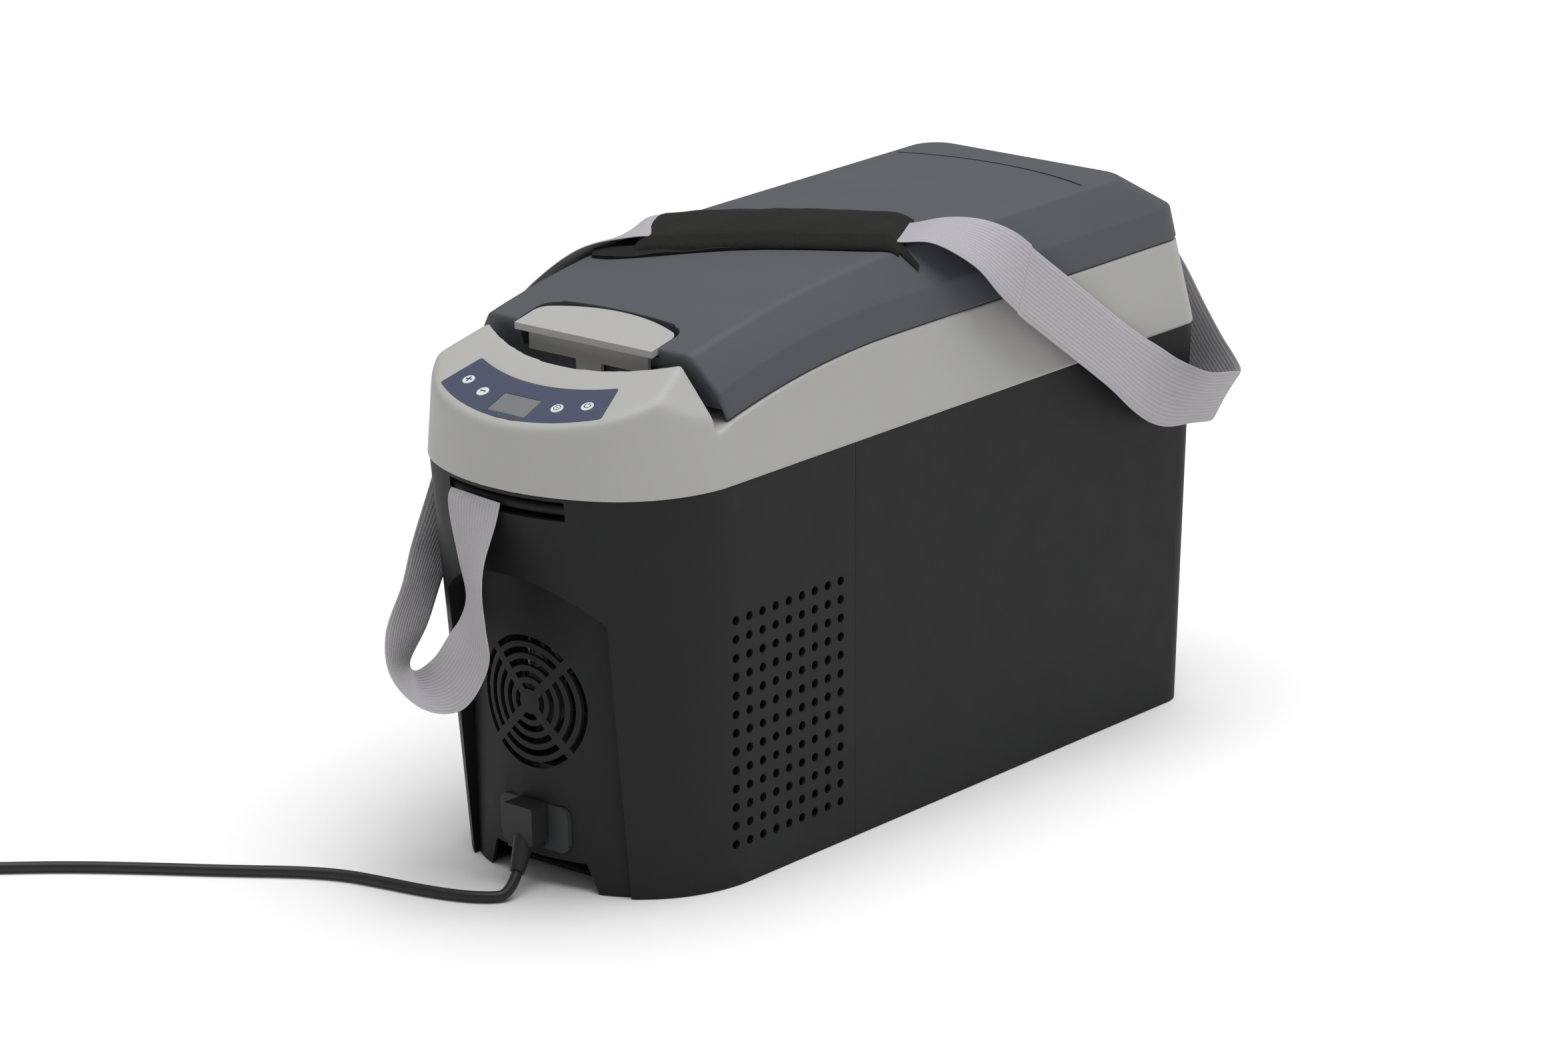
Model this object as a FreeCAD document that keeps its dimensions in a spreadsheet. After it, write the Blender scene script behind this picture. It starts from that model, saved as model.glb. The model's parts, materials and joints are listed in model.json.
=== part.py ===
import FreeCAD, Part
import math
import os
import re
from FreeCAD import Placement, Rotation, Vector

# Portable compressor cooler: a tapered two-piece body, a light collar that carries the console, a
# hinged lid with a latch, and a webbing carry strap. X runs across, Y from the console end (-Y) to the
# hinge end (+Y), Z up from the floor. The origin lies on the floor under the middle of the body.

SIZES = (
    # body shell
    ("shell_length", 584.0), ("shell_width", 236.0), ("parting_height", 272.6),
    ("front_bow", 155.0), ("front_corner", 88.0), ("rear_corner", 22.0),
    ("taper_side", 8.4), ("taper_front", 18.4), ("taper_rear", 11.2),
    ("shell_wall", 2.6), ("shell_step", 1.2), ("joint_gap", 0.3), ("seam_place", -78.0),
    ("foot_lift", 0.0), ("foot_height", 1.6), ("foot_radius", 9.0), ("foot_in", 34.0), ("foot_front", 66.0),
    ("foot_rear", 48.0), ("alcove_half", 70.0), ("alcove_shoulder", 188.0), ("alcove_rise", 27.0),
    ("alcove_depth", 12.0), ("notch_half", 40.0), ("notch_height", 20.0), ("notch_flare", 9.0),
    ("vent_bore", 6.3), ("vent_pitch", 12.76), ("vent_columns", 9.0), ("vent_rows", 13.0),
    ("vent_front", -194.7), ("vent_low", 28.6),
    # fan and grille
    ("fan_height", 124.0), ("fan_size", 92.0), ("fan_depth", 25.0), ("fan_bore", 88.0),
    ("fan_hub", 19.0), ("fan_blades", 7.0), ("fan_blade_pitch", 34.0), ("fan_gap", 3.0),
    ("grille_rings", 5.0), ("grille_pitch", 8.0), ("grille_slot", 4.2), ("grille_spoke", 6.0),
    ("grille_hub", 6.5),
    # collar and console
    ("collar_wall", 3.0), ("collar_height", 59.2), ("flare_side", 0.147), ("flare_front", 0.03),
    ("flare_rear", 0.134), ("lip_depth", 7.0), ("lip_wall", 2.0), ("console_rise", 0.40),
    ("console_low", 42.4), ("console_rear", -205.0), ("console_arc", 164.0), ("console_arc_depth", 228.0),
    ("recess_floor", 36.0), ("console_round", 6.0), ("shoulder_start", 84.0), ("shoulder_slope", 50.0),
    # compressor bay
    ("plate_thick", 3.0), ("fan_axle", 2.0), ("condenser_width", 130.0), ("condenser_depth", 22.0),
    ("condenser_height", 165.0), ("condenser_fins", 18.0), ("compressor_radius", 46.0),
    ("compressor_height", 112.0), ("grommet_height", 7.0), ("grommet_radius", 8.0), ("bracket_thick", 3.0),
    ("pipe_radius", 3.2), ("pipe_bend", 11.0), ("drier_radius", 9.0), ("drier_low", 60.0),
    ("drier_height", 70.0), ("module_width", 62.0), ("module_length", 84.0), ("module_height", 34.0),
    # tub and insulation
    ("tub_rim", 5.0), ("evaporator_in", 60.0),
    ("tub_length", 304.0), ("tub_width", 164.0), ("tub_floor", 40.0), ("tub_wall", 1.6),
    ("tub_round", 18.0), ("tub_rear", 256.0),
    # lid
    ("lid_gap", 0.6), ("lid_wall", 2.6), ("lid_waist", 22.1), ("lid_rise", 47.6),
    ("lid_waist_in", 3.0), ("lid_brow_in", 21.2), ("lid_rear_in", 38.7), ("lid_corner", 21.0),
    ("lid_front", -203.0), ("lid_rake", 0.28), ("lid_bend_low", 650.0), ("lid_bend_mid", 570.0),
    ("lid_bend_high", 957.0), ("lid_bend_start", -30.0), ("lid_bend_brow", 18.0),
    ("plug_depth", 8.0), ("plug_gap", 4.0), ("liner_wall", 2.0), ("seal_width", 8.0),
    ("hinge_spread", 62.0), ("hinge_length", 44.0), ("hinge_barrel", 4.0), ("hinge_bore", 1.6),
    ("hinge_out", 2.0), ("hinge_leaf", 7.4), ("fit_gap", 0.2),
    # latch
    ("latch_half", 60.0), ("latch_reach", 37.0), ("latch_bow", 5.0), ("latch_thick", 4.5),
    ("latch_overhang", 4.0), ("latch_skirt", 13.0), ("latch_pin_radius", 1.5), ("latch_hook", 11.0),
    # controls
    ("button_radius", 4.3), ("button_outer", 51.8), ("button_inner", 32.4), ("button_travel", 0.8),
    ("button_outer_back", 32.8), ("button_inner_back", 25.5), ("display_width", 32.0),
    ("display_depth", 18.0), ("display_back", 20.5), ("overlay_thick", 0.5),
    # inlet, plug and cord
    ("inlet_width", 60.0), ("inlet_height", 31.0), ("inlet_low", 25.5), ("inlet_round", 7.0),
    ("inlet_thick", 9.0), ("pin_radius", 1.6), ("pin_spread", 5.0), ("cord_radius", 3.6),
    ("plug_width", 26.0), ("plug_reach", 15.5), ("plug_height", 26.0),
    # strap
    ("strap_width", 50.0), ("strap_thick", 2.0), ("strap_gap", 0.4), ("anchor_length", 100.0),
    ("anchor_drop", 9.0), ("anchor_radius", 3.4), ("pad_thick", 7.0),
)

doc = FreeCAD.newDocument("CompressorCooler")
sheet = doc.addObject("Spreadsheet::Sheet", "Sizes")
for row, (alias, value) in enumerate(SIZES, start=1):
    sheet.set(f"A{row}", alias)
    sheet.set(f"B{row}", str(value))
    sheet.setAlias(f"B{row}", alias)
doc.recompute()

names = {alias for alias, _ in SIZES}
nodes = []


class Sizes:
    """The sheet's values, read back from its cells."""

    def __getattr__(self, alias):
        return float(sheet.get(alias))


v = Sizes()


def bound(text):
    """An expression in which each size name points at its cell."""
    return re.sub(r"[a-z_]{3,}", lambda m: "Sizes." + m[0] if m[0] in names else m[0], text)


def bind(obj, **expressions):
    for key, text in expressions.items():
        obj.setExpression(key.replace("__", "."), bound(text))


def place(obj, x="0", y="0", z="0", rotation=None):
    if rotation is not None:
        obj.Placement = Placement(Vector(), rotation)
    bind(obj, Placement__Base__x=x, Placement__Base__y=y, Placement__Base__z=z)
    return obj


def keep(obj, label):
    """Register a finished sub-part under its own label."""
    obj.Label = label
    nodes.append(obj)
    return obj


ALONG = {
    "z": Rotation(),
    "x": Rotation(Vector(0, 1, 0), 90),
    "y": Rotation(Vector(1, 0, 0), -90),
}


def cylinder(name, radius, height, x, y, z, along="z"):
    obj = doc.addObject("Part::Cylinder", name)
    bind(obj, Radius=radius, Height=height)
    return place(obj, x, y, z, ALONG[along])


def shaped(name, shape):
    """A sub-part whose outline neither a sketch nor a primitive describes."""
    obj = doc.addObject("Part::Feature", name)
    obj.Shape = shape
    return obj


def body_with_sketch(name, plane):
    body = doc.addObject("PartDesign::Body", name)
    return body, sketch_on(body, name + "_sketch", plane)


def sketch_on(body, name, plane):
    sketch = body.newObject("Sketcher::SketchObject", name)
    origin = next(f for f in body.Origin.OriginFeatures if f.Role == plane)
    sketch.AttachmentSupport = [(origin, "")]
    sketch.MapMode = "FlatFace"
    return sketch


def draw_polygon(sketch, corners):
    """Straight-sided outline; each corner's two coordinates are expressions of the sizes."""
    import Sketcher
    count = len(corners)
    values = [(sheet_value(a), sheet_value(b)) for a, b in corners]
    first = sketch.GeometryCount
    for i in range(count):
        start = Vector(*values[i], 0)
        end = Vector(*values[(i + 1) % count], 0)
        sketch.addGeometry(Part.LineSegment(start, end), False)
    for i in range(count):
        sketch.addConstraint(Sketcher.Constraint("Coincident", first + i, 2, first + (i + 1) % count, 1))
    for i, corner in enumerate(corners):
        for kind, text, value in zip(("DistanceX", "DistanceY"), corner, values[i]):
            index = sketch.addConstraint(Sketcher.Constraint(kind, -1, 1, first + i, 1, value))
            sketch.setExpression(f"Constraints[{index}]", bound(text))


def sheet_value(text):
    """An expression's value, for the first guess at a sketch's geometry."""
    return float(sheet.evalExpression(bound(text).replace("Sizes.", "")))


def pad(body, sketch, length, symmetric=False, reverse=False):
    obj = body.newObject("PartDesign::Pad", sketch.Name + "_pad")
    obj.Profile = sketch
    bind(obj, Length=length)
    if symmetric:
        obj.SideType = "Symmetric"
    obj.Reversed = reverse
    return obj


def revolve(body, sketch, axis):
    obj = body.newObject("PartDesign::Revolution", sketch.Name + "_turn")
    obj.Profile = sketch
    obj.ReferenceAxis = (sketch, [axis])
    return obj


def turned(name, corners, x, y, z, rotation=None):
    """A round piece turned about its local Z from a profile of (radius, height) corners."""
    body, sketch = body_with_sketch(name, "XZ_Plane")
    draw_polygon(sketch, corners)
    revolve(body, sketch, "V_Axis")
    return place(body, x, y, z, rotation)


# ---------------------------------------------------------------- outlines shared by the shells

def plan(z, side, front, rear, shrink):
    """Closed plan outline: bowed console end, straight sides, square hinge end with small corners.

    side, front and rear say how far the walls stand in from the widest line, shrink how far the whole
    outline is offset inwards.
    """
    half = v.shell_width / 2 - side - shrink
    front_y = -v.shell_length / 2 + front + shrink
    rear_y = v.shell_length / 2 - rear - shrink
    bow = v.front_bow - shrink
    corner = v.front_corner - shrink
    tail = max(v.rear_corner - shrink, v.joint_gap)
    reach = bow - corner
    across = half - corner
    down = math.sqrt(reach ** 2 - across ** 2)
    centre_y = front_y + bow - down
    turn = math.atan2(across, down)
    meet = (bow * math.sin(turn), front_y + bow - bow * math.cos(turn))
    middle = (turn + math.pi / 2) / 2
    knee = (across + corner * math.sin(middle), centre_y - corner * math.cos(middle))
    rear_in = tail * (1 - math.sqrt(0.5))

    def at(x, y):
        return Vector(x, y, z)

    def mirror(p):
        return (-p[0], p[1])

    edges = [
        Part.Arc(at(*mirror(meet)), at(0, front_y), at(*meet)),
        Part.Arc(at(*meet), at(*knee), at(half, centre_y)),
        Part.LineSegment(at(half, centre_y), at(half, rear_y - tail)),
        Part.Arc(at(half, rear_y - tail), at(half - rear_in, rear_y - rear_in), at(half - tail, rear_y)),
        Part.LineSegment(at(half - tail, rear_y), at(tail - half, rear_y)),
        Part.Arc(at(tail - half, rear_y), at(rear_in - half, rear_y - rear_in), at(-half, rear_y - tail)),
        Part.LineSegment(at(-half, rear_y - tail), at(-half, centre_y)),
        Part.Arc(at(-half, centre_y), at(*mirror(knee)), at(*mirror(meet))),
    ]
    return Part.Wire([e.toShape() for e in edges])


def body_plan(z, shrink):
    """The lower shell's outline at height z: it narrows towards the floor."""
    part = 1 - z / v.parting_height
    return plan(z, v.taper_side * part, v.taper_front * part, v.taper_rear * part, v.shell_step + shrink)


def collar_plan(z, shrink):
    """The collar's outline at height z: it leans inwards as it rises."""
    rise = z - v.parting_height
    return plan(z, v.flare_side * rise, v.flare_front * rise, v.flare_rear * rise, shrink)


def upright_plan(z, shrink):
    """The outline at the fan's height, carried straight up and down for the alcove's floor."""
    part = 1 - v.fan_height / v.parting_height
    return plan(z, v.taper_side * part, v.taper_front * part, v.taper_rear * part, v.shell_step + shrink)


def between(outline, low, high, shrink=0.0):
    """The solid between two heights of a shell's outline."""
    return Part.makeLoft([outline(low, shrink), outline(high, shrink)], True, True)


def block(x0, x1, y0, y1, z0, z1):
    return Part.makeBox(x1 - x0, y1 - y0, z1 - z0, Vector(x0, y0, z0))


def rounded_block(x0, x1, y0, y1, z0, z1, radius, along="z"):
    """A box whose four edges along one axis are rounded."""
    solid = block(x0, x1, y0, y1, z0, z1)
    way = {"x": Vector(1, 0, 0), "y": Vector(0, 1, 0), "z": Vector(0, 0, 1)}[along]
    edges = [e for e in solid.Edges if abs(e.tangentAt(e.FirstParameter).dot(way)) > 0.99]
    return solid.makeFillet(radius, edges)


def prism(points, way):
    """A flat outline of points and arcs pushed along a vector.

    An arc is given as a pair of points: where it passes and where it ends.
    """
    edges = []
    here = points[0]
    for item in points[1:] + [points[0]]:
        if isinstance(item, tuple):
            edges.append(Part.Arc(here, item[0], item[1]).toShape())
            here = item[1]
        else:
            edges.append(Part.LineSegment(here, item).toShape())
            here = item
    return Part.Face(Part.Wire(edges)).extrude(way)


FAR = v.shell_length
TOP = v.parting_height + v.collar_height
HALF = v.shell_width / 2
SEAM_FRONT = v.seam_place - v.joint_gap / 2
SEAM_REAR = v.seam_place + v.joint_gap / 2
BODY_TOP = v.parting_height - v.joint_gap


def alcove_prism(grow):
    """Arched outline of the recess on the console end, grown by the wall where needed."""
    half = v.alcove_half + grow
    shoulder = v.alcove_shoulder
    crown = v.alcove_shoulder + v.alcove_rise + grow
    y = -FAR / 2 - v.shell_wall
    return prism([
        Vector(-half, y, -v.shell_wall), Vector(half, y, -v.shell_wall), Vector(half, y, shoulder),
        (Vector(0, y, crown), Vector(-half, y, shoulder)),
    ], Vector(0, FAR / 4, 0))


def ring(radius, width, depth, y):
    """A flat ring slot about the fan's axis."""
    outer = Part.makeCylinder(radius + width / 2, depth, Vector(0, y, v.fan_height), Vector(0, 1, 0))
    inner = Part.makeCylinder(radius - width / 2, depth, Vector(0, y, v.fan_height), Vector(0, 1, 0))
    return outer.cut(inner)


def grille_tool():
    """Ring slots broken by four spokes."""
    depth = FAR / 8
    y = -FAR / 2
    slots = []
    for i in range(int(v.grille_rings)):
        slots.append(ring(v.grille_hub + (i + 0.5) * v.grille_pitch, v.grille_slot, depth, y))
    tool = slots[0].multiFuse(slots[1:])
    reach = v.grille_hub + v.grille_rings * v.grille_pitch
    for quarter in (45, 135):
        spoke = Part.makeBox(2 * reach, depth, v.grille_spoke, Vector(-reach, y, -v.grille_spoke / 2))
        spoke.rotate(Vector(), Vector(0, 1, 0), quarter)
        spoke.translate(Vector(0, 0, v.fan_height))
        tool = tool.cut(spoke)
    return tool


def vent_tool():
    """The rows of round holes through both side walls."""
    holes = []
    for column in range(int(v.vent_columns)):
        for level in range(int(v.vent_rows)):
            y = v.vent_front + column * v.vent_pitch
            z = v.vent_low + level * v.vent_pitch
            holes.append(Part.makeCylinder(v.vent_bore / 2, 2 * HALF, Vector(-HALF, y, z), Vector(1, 0, 0)))
    return Part.makeCompound(holes)


def notch_tool():
    """The cable notch at the foot of the console end, wider at the floor."""
    y = -FAR / 2
    return prism([
        Vector(-v.notch_half - v.notch_flare, y, -v.shell_wall),
        Vector(v.notch_half + v.notch_flare, y, -v.shell_wall),
        Vector(v.notch_half, y, v.notch_height),
        Vector(-v.notch_half, y, v.notch_height),
    ], Vector(0, v.taper_front + v.notch_flare + v.alcove_depth + v.shell_wall * 4, 0))


FAN_LEVEL = 1 - v.fan_height / v.parting_height
ALCOVE_FACE = -v.shell_length / 2 + v.shell_step + v.taper_front * FAN_LEVEL + v.alcove_depth
ALCOVE_BACK = ALCOVE_FACE + v.shell_wall


def inlet_block(gap, y0, y1):
    """The inlet plate's rounded outline, with a gap round it."""
    half = v.inlet_width / 2 + gap
    return rounded_block(-half, half, y0, y1, v.inlet_low - gap, v.inlet_low + v.inlet_height + gap,
                         v.inlet_round, "y")


def anchor_slot(way, grow=0.0):
    """A pocket in an end wall, just under the collar, that a strap bar crosses; way -1 is the console end.

    Grown by the wall it is the lining that closes the pocket off from the room behind it.
    """
    half = v.anchor_length / 2 + grow
    low, high = ANCHOR_Z - v.anchor_drop + v.shell_wall - grow, ANCHOR_Z + v.anchor_drop - v.shell_wall + grow
    y0, y1 = sorted((way * FAR, way * FAR / 4))
    return block(-half, half, y0, y1, low, high).cut(
        between(body_plan, low - v.shell_wall, high + v.shell_wall, ANCHOR_DEEP + grow))


ANCHOR_Z = v.parting_height - v.anchor_drop
ANCHOR_OFF = v.anchor_radius + v.strap_thick + v.strap_gap
ANCHOR_DEEP = 2 * ANCHOR_OFF


def front_housing():
    behind = block(-FAR, FAR, SEAM_FRONT, FAR, -FAR, FAR)
    recess = alcove_prism(0).cut(between(upright_plan, -v.shell_wall, v.parting_height, v.alcove_depth))
    outer = between(body_plan, v.foot_lift, BODY_TOP).cut(recess)
    room = between(body_plan, v.foot_lift - v.shell_wall, v.parting_height, v.shell_wall)
    lining = alcove_prism(v.shell_wall).cut(
        between(upright_plan, -v.shell_wall, v.parting_height, v.alcove_depth + v.shell_wall))
    room = room.cut([lining, anchor_slot(-1, v.shell_wall)])
    shell = outer.cut(room).cut(behind)
    inlet = inlet_block(v.joint_gap, -FAR / 2, ALCOVE_FACE + v.inlet_thick * 2)
    return shell.cut([grille_tool(), vent_tool(), notch_tool(), inlet, anchor_slot(-1)] + foot_seats())


def rear_housing():
    ahead = block(-FAR, FAR, -FAR, SEAM_REAR, -FAR, FAR)
    bulkhead = block(-FAR, FAR, -FAR, SEAM_REAR + v.shell_wall, -FAR, FAR)
    room = between(body_plan, v.foot_lift + v.shell_wall, v.parting_height, v.shell_wall).cut(bulkhead)
    shell = between(body_plan, v.foot_lift, BODY_TOP).cut(ahead)
    shell = shell.cut(room.cut(anchor_slot(1, v.shell_wall))).cut(anchor_slot(1))
    return shell.cut(foot_seats())


def foot_seats():
    """Room for the feet in the shells."""
    return [Part.makeCylinder(v.foot_radius + v.fit_gap, v.foot_height, Vector(x, y, 0))
            for _, x, y in foot_places()]


def foot_places():
    half = HALF - v.foot_in
    front = -v.shell_length / 2 + v.foot_front
    rear = v.shell_length / 2 - v.foot_rear
    return (("foot_front_left", -half, front), ("foot_front_right", half, front),
            ("foot_rear_left", -half, rear), ("foot_rear_right", half, rear))


# ---------------------------------------------------------------- collar with its console

def lid_line(y):
    """Height of the collar's rim under the lid: level at the rear, an arc that falls to the front."""
    run = max(0.0, v.lid_bend_start - y)
    return TOP - (v.lid_bend_low - math.sqrt(v.lid_bend_low ** 2 - run ** 2))


def console_height(y):
    """Height of the sloping console face at y."""
    return v.parting_height + v.console_low + v.console_rise * (y + v.shell_length / 2)


def rim_profile(drop, front):
    """Side outline below the lid line, lowered by a gap, from the hinge end to y = front."""
    x = -FAR
    low = v.parting_height - v.lip_depth * 2
    half_way = (v.lid_bend_start + front) / 2
    return prism([
        Vector(x, front, low), Vector(x, FAR, low), Vector(x, FAR, TOP - drop),
        Vector(x, v.lid_bend_start, TOP - drop),
        (Vector(x, half_way, lid_line(half_way) - drop), Vector(x, front, lid_line(front) - drop)),
    ], Vector(2 * FAR, 0, 0))


def over_flange(drop):
    """Everything higher than the collar's rim lowered by a wall and a gap."""
    above = block(-FAR, FAR, v.console_rear, FAR / 2, v.parting_height, TOP + v.lid_rise)
    return above.cut(rim_profile(drop, v.console_rear))


def console_block():
    """What stands in front of the lid: a sloping face with falling shoulders."""
    x = -FAR
    low = v.parting_height - v.lip_depth * 2
    front = -FAR / 2 - v.collar_wall
    slope = prism([
        Vector(x, front, low), Vector(x, v.console_rear, low),
        Vector(x, v.console_rear, console_height(v.console_rear)), Vector(x, front, console_height(front)),
    ], Vector(2 * FAR, 0, 0))
    high = console_height(v.console_rear)
    fall = math.tan(math.radians(v.shoulder_slope))
    edge = HALF + v.collar_wall
    drop = fall * (edge - v.shoulder_start)
    section = prism([
        Vector(-edge, front, low), Vector(edge, front, low), Vector(edge, front, high - drop),
        Vector(v.shoulder_start, front, high), Vector(-v.shoulder_start, front, high),
        Vector(-edge, front, high - drop),
    ], Vector(0, FAR, 0))
    return slope.common(section)


def recess_tool(shrink):
    """The finger recess behind the console: a round front wall and a level floor."""
    radius = v.console_arc + shrink
    centre = -v.console_arc_depth + v.console_arc
    floor = v.parting_height + v.recess_floor - shrink
    drum = Part.makeCylinder(radius, FAR, Vector(0, centre, floor))
    return drum.common(block(-FAR, FAR, -FAR, LID_STOP, floor, FAR))


LID_STOP = v.lid_front + v.lid_gap
TUB_FRONT = v.tub_rear - v.tub_length
TUB_HALF = v.tub_width / 2
FLANGE_LOW = TOP - v.collar_wall


def hinge_y():
    return v.shell_length / 2 - v.flare_rear * v.collar_height + v.hinge_out


HINGE_Y = hinge_y()
HINGE_Z = TOP + v.lid_gap / 2


def hinge_pocket(x, low, high):
    """Room for one hinge in the rim of the collar or of the lid."""
    half = v.hinge_length / 2 + v.fit_gap
    return block(x - half, x + half, HINGE_Y - v.hinge_leaf - v.fit_gap, FAR, low, high)


def hinge_places():
    return (("left", -v.hinge_spread), ("right", v.hinge_spread))


def collar_room():
    """The hollow under the collar's skin: compressor bay in front, insulated box behind."""
    low = v.parting_height - 1.5 * v.lip_depth
    skin = v.collar_wall
    inner = between(collar_plan, low, TOP + v.lip_depth * 3, skin)
    under_rim = rim_profile(skin, v.console_rear - skin)
    lower = console_block()
    lower.translate(Vector(0, 0, -skin))
    lower = lower.cut(recess_tool(skin))
    return inner.common(under_rim.fuse(lower))


def collar():
    outer = between(collar_plan, v.parting_height, TOP + v.lip_depth * 3)
    solid = outer.common(rim_profile(0, v.console_rear).fuse(console_block())).cut(recess_tool(0))
    solid = soften_console(solid.removeSplitter())
    solid = solid.cut(collar_room())
    lip = between(body_plan, v.parting_height - v.lip_depth, v.parting_height, v.shell_wall + v.joint_gap)
    lip = lip.fuse(between(collar_plan, v.parting_height, v.parting_height + v.lip_wall, v.collar_wall / 2))
    lip = lip.cut(between(body_plan, v.parting_height - v.lip_depth * 2, v.parting_height,
                          v.shell_wall + v.joint_gap + v.lip_wall))
    lip = lip.cut(between(collar_plan, v.parting_height, v.parting_height + v.lip_depth,
                          v.shell_wall + v.joint_gap + v.lip_wall + v.shell_step))
    for way in (-1, 1):
        lip = lip.cut(lip_relief(way))
    lip = lip.cut(block(-FAR, FAR, SEAM_FRONT - v.joint_gap, SEAM_REAR + v.shell_wall + v.joint_gap,
                        v.parting_height - 2 * v.lip_depth, v.parting_height))
    mouth = rounded_block(-TUB_HALF, TUB_HALF, TUB_FRONT, v.tub_rear, FLANGE_LOW - v.collar_wall,
                          TOP + v.collar_wall, v.tub_round)
    solid = solid.fuse(lip).cut(mouth)
    for _, x in hinge_places():
        solid = solid.cut(hinge_pocket(x, HINGE_Z - v.hinge_leaf, FAR))
    return solid.cut(keypad_tool()).removeSplitter()


def lip_relief(way):
    """Gap in the locating lip where an anchor pocket stands."""
    half = v.anchor_length / 2 + v.shell_wall + v.joint_gap
    y0, y1 = sorted((way * FAR, way * FAR / 4))
    return block(-half, half, y0, y1, v.parting_height - 2 * v.lip_depth, v.parting_height)


def soften_console(solid):
    """Round the rim where the console face meets the walls."""
    edges = []
    for edge in solid.Edges:
        box = edge.BoundBox
        on_rim = box.YMax < v.console_rear + 1 and box.ZMin > v.parting_height + v.recess_floor
        faces = solid.ancestorsOfType(edge, Part.Face)
        tilted = [abs(f.normalAt(0, 0).z) for f in faces]
        if on_rim and len(tilted) == 2 and min(tilted) < 0.3 < max(tilted) and box.DiagonalLength > 5:
            middle = edge.valueAt((edge.FirstParameter + edge.LastParameter) / 2)
            if middle.y < v.console_rear - 1 and outside_recess(middle):
                edges.append(edge)
    return solid.makeFillet(v.console_round, edges)


def outside_recess(p):
    centre = Vector(0, v.console_arc - v.console_arc_depth, p.z)
    return (p - centre).Length > v.console_arc + 1


# ---------------------------------------------------------------- lid

LID_LOW = TOP + v.lid_gap
LID_HIGH = LID_LOW + v.lid_rise


def lid_levels(shrink):
    """The lid's three outlines: lower edge, waist and brow, each offset inwards by shrink."""
    half = HALF - v.flare_side * v.collar_height
    rear = v.shell_length / 2 - v.flare_rear * v.collar_height
    sunk = shrink if shrink else 0.0
    return (
        (half, LID_LOW, rear, v.lid_corner, v.lid_bend_low, v.lid_bend_start, sunk, 0.0),
        (half - v.lid_waist_in, LID_LOW + v.lid_waist, rear - v.lid_waist_in, v.lid_corner,
         v.lid_bend_mid, v.lid_bend_start, sunk, sunk / 2),
        (half - v.lid_brow_in, LID_HIGH, rear - v.lid_rear_in, v.lid_corner, v.lid_bend_high,
         v.lid_bend_brow, sunk, sunk),
    )


def lid_edges(half, z, rear, corner, bend, start, shrink, sunk):
    """One outline as seven edges, from the right front round the rear to the left front."""
    half, z, rear = half - shrink, z - sunk, rear - shrink
    corner = corner - shrink
    end = v.lid_front + shrink
    mid = (start + end) / 2

    def height(y):
        return z - (bend - math.sqrt(bend ** 2 - (start - y) ** 2))

    inset = corner * (1 - math.sqrt(0.5))

    def side(s):
        curve = Part.Arc(Vector(s * half, end, height(end)), Vector(s * half, mid, height(mid)),
                         Vector(s * half, start, z))
        line = Part.LineSegment(Vector(s * half, start, z), Vector(s * half, rear - corner, z))
        turn = Part.Arc(Vector(s * half, rear - corner, z), Vector(s * (half - inset), rear - inset, z),
                        Vector(s * (half - corner), rear, z))
        return [curve.toShape(), line.toShape(), turn.toShape()]

    across = Part.LineSegment(Vector(half - corner, rear, z), Vector(corner - half, rear, z)).toShape()
    return side(1) + [across] + side(-1)


def cap_faces(edges):
    """A curved front strip and a level rear face across one outline."""
    strip = Part.makeRuledSurface(edges[0], edges[4])
    fold = Part.LineSegment(edges[1].Vertexes[0].Point, edges[5].Vertexes[0].Point).toShape()
    level = Part.Face(Part.Wire(Part.sortEdges([edges[i] for i in (1, 2, 3, 5, 6)] + [fold])[0]))
    return [strip, level]


def lid_block(shrink=0.0):
    """Solid of the lid's outer form; with shrink, of the room inside its skin."""
    outlines = [lid_edges(*level) for level in lid_levels(shrink)]
    faces = cap_faces(outlines[0]) + cap_faces(outlines[-1])
    for low, high in zip(outlines, outlines[1:]):
        faces += [Part.makeRuledSurface(a, b) for a, b in zip(low, high)]
    rights = [outline[0].Vertexes[0].Point for outline in outlines]
    lefts = [outline[4].Vertexes[0].Point for outline in outlines]
    faces.append(Part.Face(Part.makePolygon(rights + lefts[::-1] + rights[:1])))
    shell = Part.Shell(faces)
    shell.sewShape()
    solid = Part.Solid(shell)
    if solid.Volume < 0:
        solid.reverse()
    return solid


def brow_height(y):
    """Height of the lid's top along its falling front."""
    run = max(0.0, v.lid_bend_brow - y)
    return LID_HIGH - (v.lid_bend_high - math.sqrt(v.lid_bend_high ** 2 - run ** 2))


BROW_FRONT = brow_height(v.lid_front)


def rake_tool(shrink=0.0):
    """Leans the lid's front face back towards its lower edge."""
    x = -FAR
    foot = BROW_FRONT - v.lid_rise * 2
    back = v.lid_front + shrink + (BROW_FRONT - foot) * v.lid_rake
    return prism([
        Vector(x, v.lid_front + shrink - FAR / 8, BROW_FRONT),
        Vector(x, v.lid_front + shrink, BROW_FRONT),
        Vector(x, back, foot), Vector(x, v.lid_front - FAR / 8, foot),
    ], Vector(2 * FAR, 0, 0))


LATCH_FRONT = v.lid_front - v.latch_overhang
LATCH_REAR = LATCH_FRONT + v.latch_reach
LATCH_SLOPE = (brow_height(LATCH_REAR) - brow_height(v.lid_front)) / (LATCH_REAR - v.lid_front)
POCKET_FLOOR = BROW_FRONT - v.latch_thick - v.latch_skirt - 2 * v.lid_gap


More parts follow.
